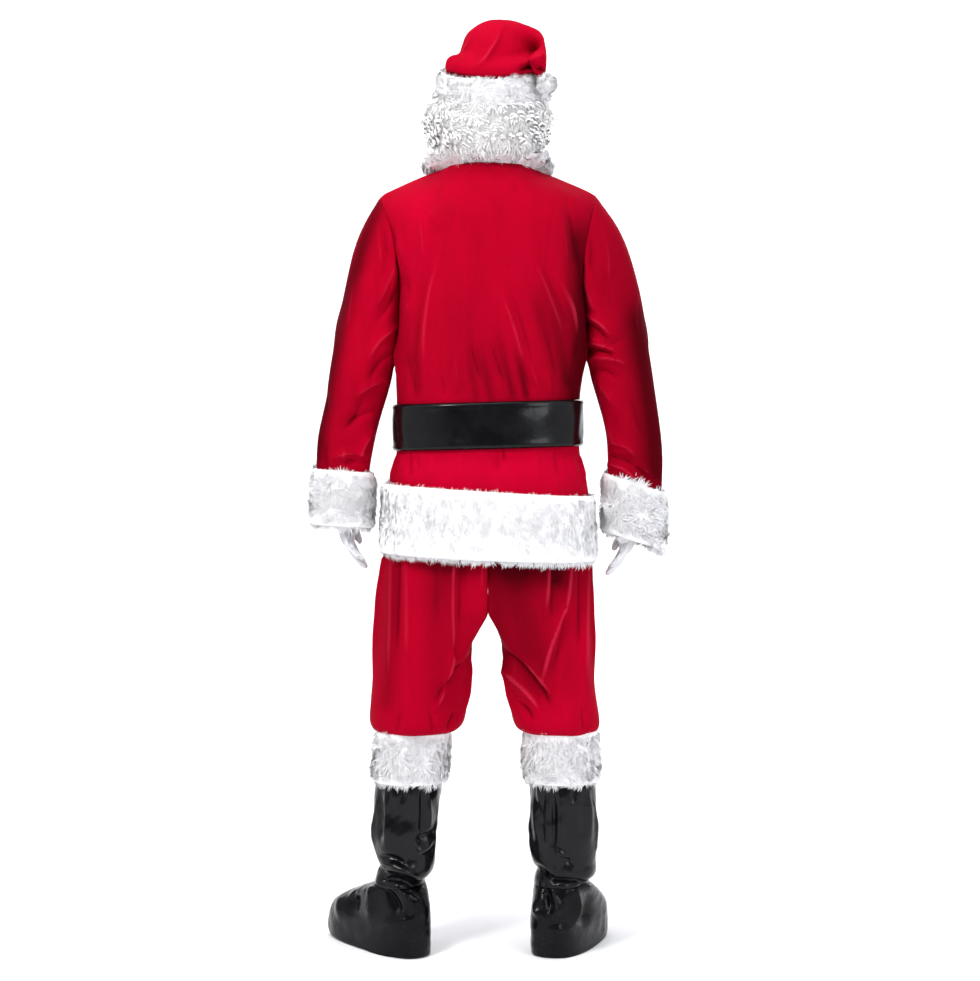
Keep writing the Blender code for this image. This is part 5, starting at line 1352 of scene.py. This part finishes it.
def make_belt():
    mesh = refined(outer_wall("belt_strap", rim=0.0036), 4)
    away = edge_distance(mesh)
    rise = sum(high * bell(away, middle, width) for high, middle, width in BELT_EDGE)
    rise += BELT_WAVES[0] * ripple(points_of(mesh) * (1, 1, 0.8), BELT_WAVES[1], 5) * smoothstep((away - 0.010) / 0.014)
    rise -= BELT_ROUND[0] * (1 - smoothstep(away / BELT_ROUND[1]))
    push_out(mesh, rise)
    add_piece("belt_band", turned_in(mesh, 0.0022), GLOSS_BLACK, ["belt_strap"])


def make_buckle():
    plain = to_mesh("belt_buckle", welded("belt_buckle"))
    limit = {"limit_method": "ANGLE", "angle_limit": math.radians(32)}
    mesh = modified(plain, "buckle", "BEVEL", width=0.0010, segments=3, **limit)
    add_piece("buckle_frame", mesh, METAL_GOLD, ["belt_buckle"])


SHAFT_CREASES_LEFT = (
    creases("right", (-80, 150, 120, 132, 0, 20, -7.5, 1))
    + creases("left", (-80, 190, 120, 150, 0, 16, -6, 1))
    + creases(
        "back",
        (206, 142, 120, 118, 6, 11, -8, 1), (200, 160, 130, 136, 10, 12, 5, 0.6), (130, 325, 131, 190, 2, 8.5, -6, 0.3),
        (118, 320, 120, 200, 2, 9, 3.6, 0.3), (200, 330, 204, 180, 2, 10, 5, 0.3),
        (212, 320, 214, 200, 0, 8, -3.6, 0.3), (104, 250, 150, 215, 6, 10, -5, 0.3),
        (106, 228, 160, 190, 6, 10, 4.4, 0.3), (216, 190, 150, 160, 6, 9, -6, 0.4), (218, 172, 140, 148, 8, 9, 5, 0.4),
        (170, 330, 166, 292, 0, 5, -3.4, 0.9), (150, 330, 152, 296, 0, 5, 3, 0.9), (188, 330, 186, 290, 0, 5, 3.4, 0.9),
    )
    + creases(
        "front",
        (120, 300, 180, 240, 8, 11, 4.8, 0.3), (200, 230, 130, 180, 8, 11, -5, 0.3),
        (110, 200, 190, 150, 8, 11, 5, 0.3),
    )
    + creases("left", (30, 300, 20, 180, 6, 11, 4, 0.3))
    + creases("right", (20, 290, 30, 170, 6, 11, 4, 0.3))
)
SHAFT_CREASES_RIGHT = (
    creases("left", (-80, 175, 120, 150, 0, 16, -6, 1))
    + creases("right", (-80, 150, 120, 132, 0, 16, -6, 1))
    + creases(
        "back",
        (-90, 168, -140, 136, -4, 11, -7, 1), (-130, 138, -210, 128, 2, 9, -6, 1),
        (-129, 325, -130, 150, 1, 5, -4.6, 0.6), (-118, 320, -117, 190, 1, 9, 3.4, 0.4),
        (-142, 320, -144, 190, 1, 9, 3.4, 0.4), (-128, 204, -158, 176, 4, 9, 5.2, 0.3),
        (-138, 190, -170, 166, 4, 7, -4.6, 0.3), (-130, 140, -208, 126, 6, 8, -5.2, 0.4),
        (-84, 180, -120, 150, -6, 10, -4.4, 0.4), (-86, 300, -96, 210, 3, 10, 3.6, 0.3),
        (-196, 330, -200, 200, 3, 11, 4, 0.3), (-100, 330, -103, 290, 0, 5, 3, 0.9),
        (-172, 330, -168, 290, 0, 5, -3, 0.9),
    )
    + creases(
        "front",
        (-120, 300, -180, 240, -8, 11, 4.8, 0.3), (-200, 230, -110, 180, -8, 11, -5, 0.3),
        (-90, 200, -190, 150, -8, 11, 5, 0.3),
    )
    + creases("right", (30, 300, 20, 180, 6, 11, 4, 0.3))
    + creases("left", (20, 290, 30, 170, 6, 11, 4, 0.3))
)
FOOT_CREASES_LEFT = (
    creases(
        "back",
        (252, 150, 262, 62, -14, 17, -12, 0.6), (282, 135, 288, 50, -10, 12, 5, 0.3),
        (232, 146, 238, 50, 4, 10, 7, 0.8), (216, 130, 176, 50, 14, 13, -7, 0.4), (196, 128, 150, 72, 14, 11, 6, 0.4),
        (170, 120, 132, 96, 8, 10, -5.6, 0.4), (150, 60, 220, 36, -8, 14, 4, 0.2),
    )
    + creases("front", (160, 110, 220, 70, 8, 11, 5, 0.2), (180, 90, 240, 40, 8, 11, -5, 0.2))
)
FOOT_CREASES_RIGHT = (
    creases(
        "back",
        (-106, 130, -118, 62, 10, 14, -9, 0.4), (-126, 124, -132, 50, 4, 10, 6, 0.4),
        (-200, 108, -182, 44, 8, 15, -12, 0.5), (-178, 120, -164, 40, 6, 11, 7, 0.5),
        (-90, 108, -110, 60, -6, 9, 5, 0.3), (-120, 40, -180, 34, 6, 12, 3.6, 0.2),
    )
    + creases("front", (-110, 110, -180, 70, -8, 11, 5, 0.2), (-120, 80, -190, 40, -8, 11, -5, 0.2))
)
GLOVE_CREASES = {
    "left": (
        creases(
            "back",
            (285, 840, 264, 786, 2, 5, -2.4, 1), (274, 840, 256, 784, 2, 5, -2.8, 1),
            (264, 836, 250, 790, 2, 5, -2.4, 1), (258, 790, 246, 768, 0, 4, -2.4, 0.8),
        )
        + creases("left", (0, 840, 5, 790, 0, 6, -2.4, 1))
    ),
    "right": (
        creases(
            "back",
            (-245, 816, -228, 756, -2, 5.5, -3.4, 1), (-256, 812, -242, 768, -2, 5.5, -3.4, 1),
            (-270, 806, -256, 780, -2, 5, -3, 1), (-240, 776, -231, 750, 0, 4.5, -3, 0.8),
        )
        + creases("right", (0, 820, 5, 780, 0, 6, -2.4, 1))
    ),
}
BOOT_CREASES = {
    ("shaft", "left"): SHAFT_CREASES_LEFT,
    ("foot", "left"): SHAFT_CREASES_LEFT + FOOT_CREASES_LEFT,
    ("shaft", "right"): SHAFT_CREASES_RIGHT,
    ("foot", "right"): SHAFT_CREASES_RIGHT + FOOT_CREASES_RIGHT,
}
BOOT_SCALE = 1.6
BOOT_CRISP = 2.6  # how sharp a stiff cover's creases are
DART_RISE = 0.0024  # the depth at which a glove's dart gets its full painted shade


def boot_part(part, side):
    node = f"boot_{part}_{side}"
    mesh = through_points(outer_wall(node), 3)
    points = points_of(mesh)
    rise = BOOT_SCALE * creased(points, normals_of(mesh), BOOT_CREASES[part, side], BOOT_CRISP)[0]
    rise += 0.0010 * ripple(points, 0.040, len(node) + ord(side[0]))
    rise += 0.0004 * ripple(points, 0.014, 3 + ord(side[0]))
    push_out(mesh, rise * smoothstep((points[:, 2] - FLOOR - 0.004) / 0.02))
    return mesh


def make_boot(side):
    shaft, foot = boot_part("shaft", side), boot_part("foot", side)
    sew(shaft, foot, reach=0.026, spread=0.034, sunk=0.0006)
    for part, mesh, surface in (("shaft", shaft, GLOSS_BLACK), ("foot", foot, DARK_BLACK)):
        add_piece(f"cover_{part}_{side}", turned_in(mesh), surface, [f"boot_{part}_{side}"])


def make_glove(side):
    node = f"glove_{side}"
    mesh = smoothed(node, 2)
    points = points_of(mesh)
    rise = creased(points, normals_of(mesh), GLOVE_CREASES[side])[0]
    # fold tells the jersey where to paint shade along the darts.
    marked(mesh, "fold", np.clip(rise / DART_RISE, -1, 1))
    push_out(mesh, 0.5 * rise + 0.0003 * ripple(points, 0.012, 9))
    add_piece(f"knit_glove_{side}", mesh, KNIT_WHITE, [node])


def make_pompom():
    mesh = smoothed("hat_pompom", 1, quads=False)
    set_points(mesh, points_of(mesh) - normals_of(mesh) * 0.0070 - (0, 0, TAIL_SAG))
    pile = grow(mesh, "pompom_pile", 400000, 0.4, 12, (0.25, 0.9, 1.1, 0.65, 0.95))
    heart = add_piece("pompom_heart", mesh, FUR_BASE, ["hat_pompom"])
    add_piece("pompom_strands", pile, FUR_WHITE)


def make_waistband():
    mesh = smoothed("trouser_waistband", 2)
    points = points_of(mesh)
    around = np.arctan2(points[:, 1], points[:, 0])
    push_out(mesh, np.sin(around * 46 + 2.0 * np.sin(around * 5)) * 0.0008)
    add_piece("gathered_waistband", mesh, VELVET_RED, ["trouser_waistband"])


make_belt()
make_buckle()
for side in SIDES:
    make_boot(side)
for side in SIDES:
    make_glove(side)
make_pompom()
make_waistband()


# ---------------------------------------------------------------- the record for a cloth's cut

# The piece, its cut's width and length, its flat area, how it is held, what it lies on, and the pieces on it.
Cut = namedtuple("Cut", "piece flat area held rests_on going", defaults=((),))


# ---------------------------------------------------------------- the set, the lights and the camera

SHEET_SIDES = (-8.0, 8.0)
SHEET_FRONT, SHEET_BACK, SHEET_TOP = 6.5, -4.8, 6.0
SHEET_ROUND, SHEET_STEPS = 1.4, 10  # the radius of the sheet's curve, and its steps

# The set's lights: name, place, where each one looks, its size, its power and its colour.
LIGHTS = (
    ("key", (1.9, 2.8, 2.5), (0, 0, -0.5), (0.9, 1.3), 148, (1.0, 0.985, 0.97)),
    ("fill", (-2.6, 3.1, 0.5), (0, 0, -0.7), (1.6, 2.2), 54, (0.94, 0.96, 1.0)),
    ("top", (0.2, 0.3, 2.7), (0, 0, -0.6), (1.8, 1.8), 46, (1, 1, 1)),
    ("front_side", (-1.8, -3.4, 1.4), (0, 0, -0.6), (1.6, 1.8), 40, (1, 1, 1)),
    ("wall_wash", (0.0, -4.1, 2.9), (0, -6.2, -0.3), (5.0, 0.8), 170, (1, 1, 1)),
)


def floor_sheet():
    """A pale sheet that lies under the suit and sweeps up behind it, as one smooth curve."""
    profile = [(SHEET_FRONT, FLOOR), (SHEET_BACK, FLOOR)]
    for step in range(1, SHEET_STEPS + 1):
        turn = math.pi / 2 * step / SHEET_STEPS
        profile.append((SHEET_BACK - SHEET_ROUND * math.sin(turn), FLOOR + SHEET_ROUND * (1 - math.cos(turn))))
    profile.append((SHEET_BACK - SHEET_ROUND, SHEET_TOP))
    points = [(x, y, z) for y, z in profile for x in SHEET_SIDES]
    faces = [(first, first + 1, first + 3, first + 2) for first in range(0, len(points) - 2, 2)]
    made = mesh_object("studio_sheet", points, faces)
    paper = Paint("studio_paper").finished(Base_Color=(0.86, 0.86, 0.87, 1), Roughness=0.8, Specular_IOR_Level=0.1)
    made.data.materials.append(paper)
    bpy.context.scene.collection.objects.link(made)


def area_light(name, place, aim, size, power, colour):
    data = bpy.data.lights.new(name, "AREA")
    data.shape, data.size, data.size_y = "RECTANGLE", size[0], size[1]
    data.energy, data.color = power, colour
    made = shown(name, data)
    made.location = place
    made.rotation_euler = (Vector(aim) - Vector(place)).to_track_quat("-Z", "Y").to_euler()


def studio_world():
    """A cool, even sky that is dimmer behind the suit."""
    world = bpy.data.worlds.new("studio_world")
    world.use_nodes = True
    nodes = Nodes(world.node_tree)
    direction = nodes.add("ShaderNodeTexCoord").outputs["Generated"]
    behind = nodes.vector("DOT_PRODUCT", direction, (0, 1, 0)).outputs["Value"]
    inputs = {"Value": behind, "From Min": 0.62, "From Max": 0.93, "To Min": 0.92, "To Max": 0.17}
    dimmed = nodes.add("ShaderNodeMapRange", inputs)
    nodes.fill(nodes.tree.nodes["Background"], {"Color": (0.95, 0.965, 1.0, 1), "Strength": dimmed})
    return world


def set_the_scene():
    scene = bpy.context.scene
    floor_sheet()
    scene.world = studio_world()
    for light in LIGHTS:
        area_light(*light)
    scene.view_settings.view_transform = "Standard"
    data = bpy.data.cameras.new("camera")
    data.sensor_width, data.lens = 36.0, 78.43
    data.shift_x = 0.00204
    camera = shown("camera", data)
    camera.location = (0.0, 4.2, -0.43)
    camera.rotation_euler = (math.radians(87.6), 0.0, math.radians(180))
    scene.camera = camera


set_the_scene()
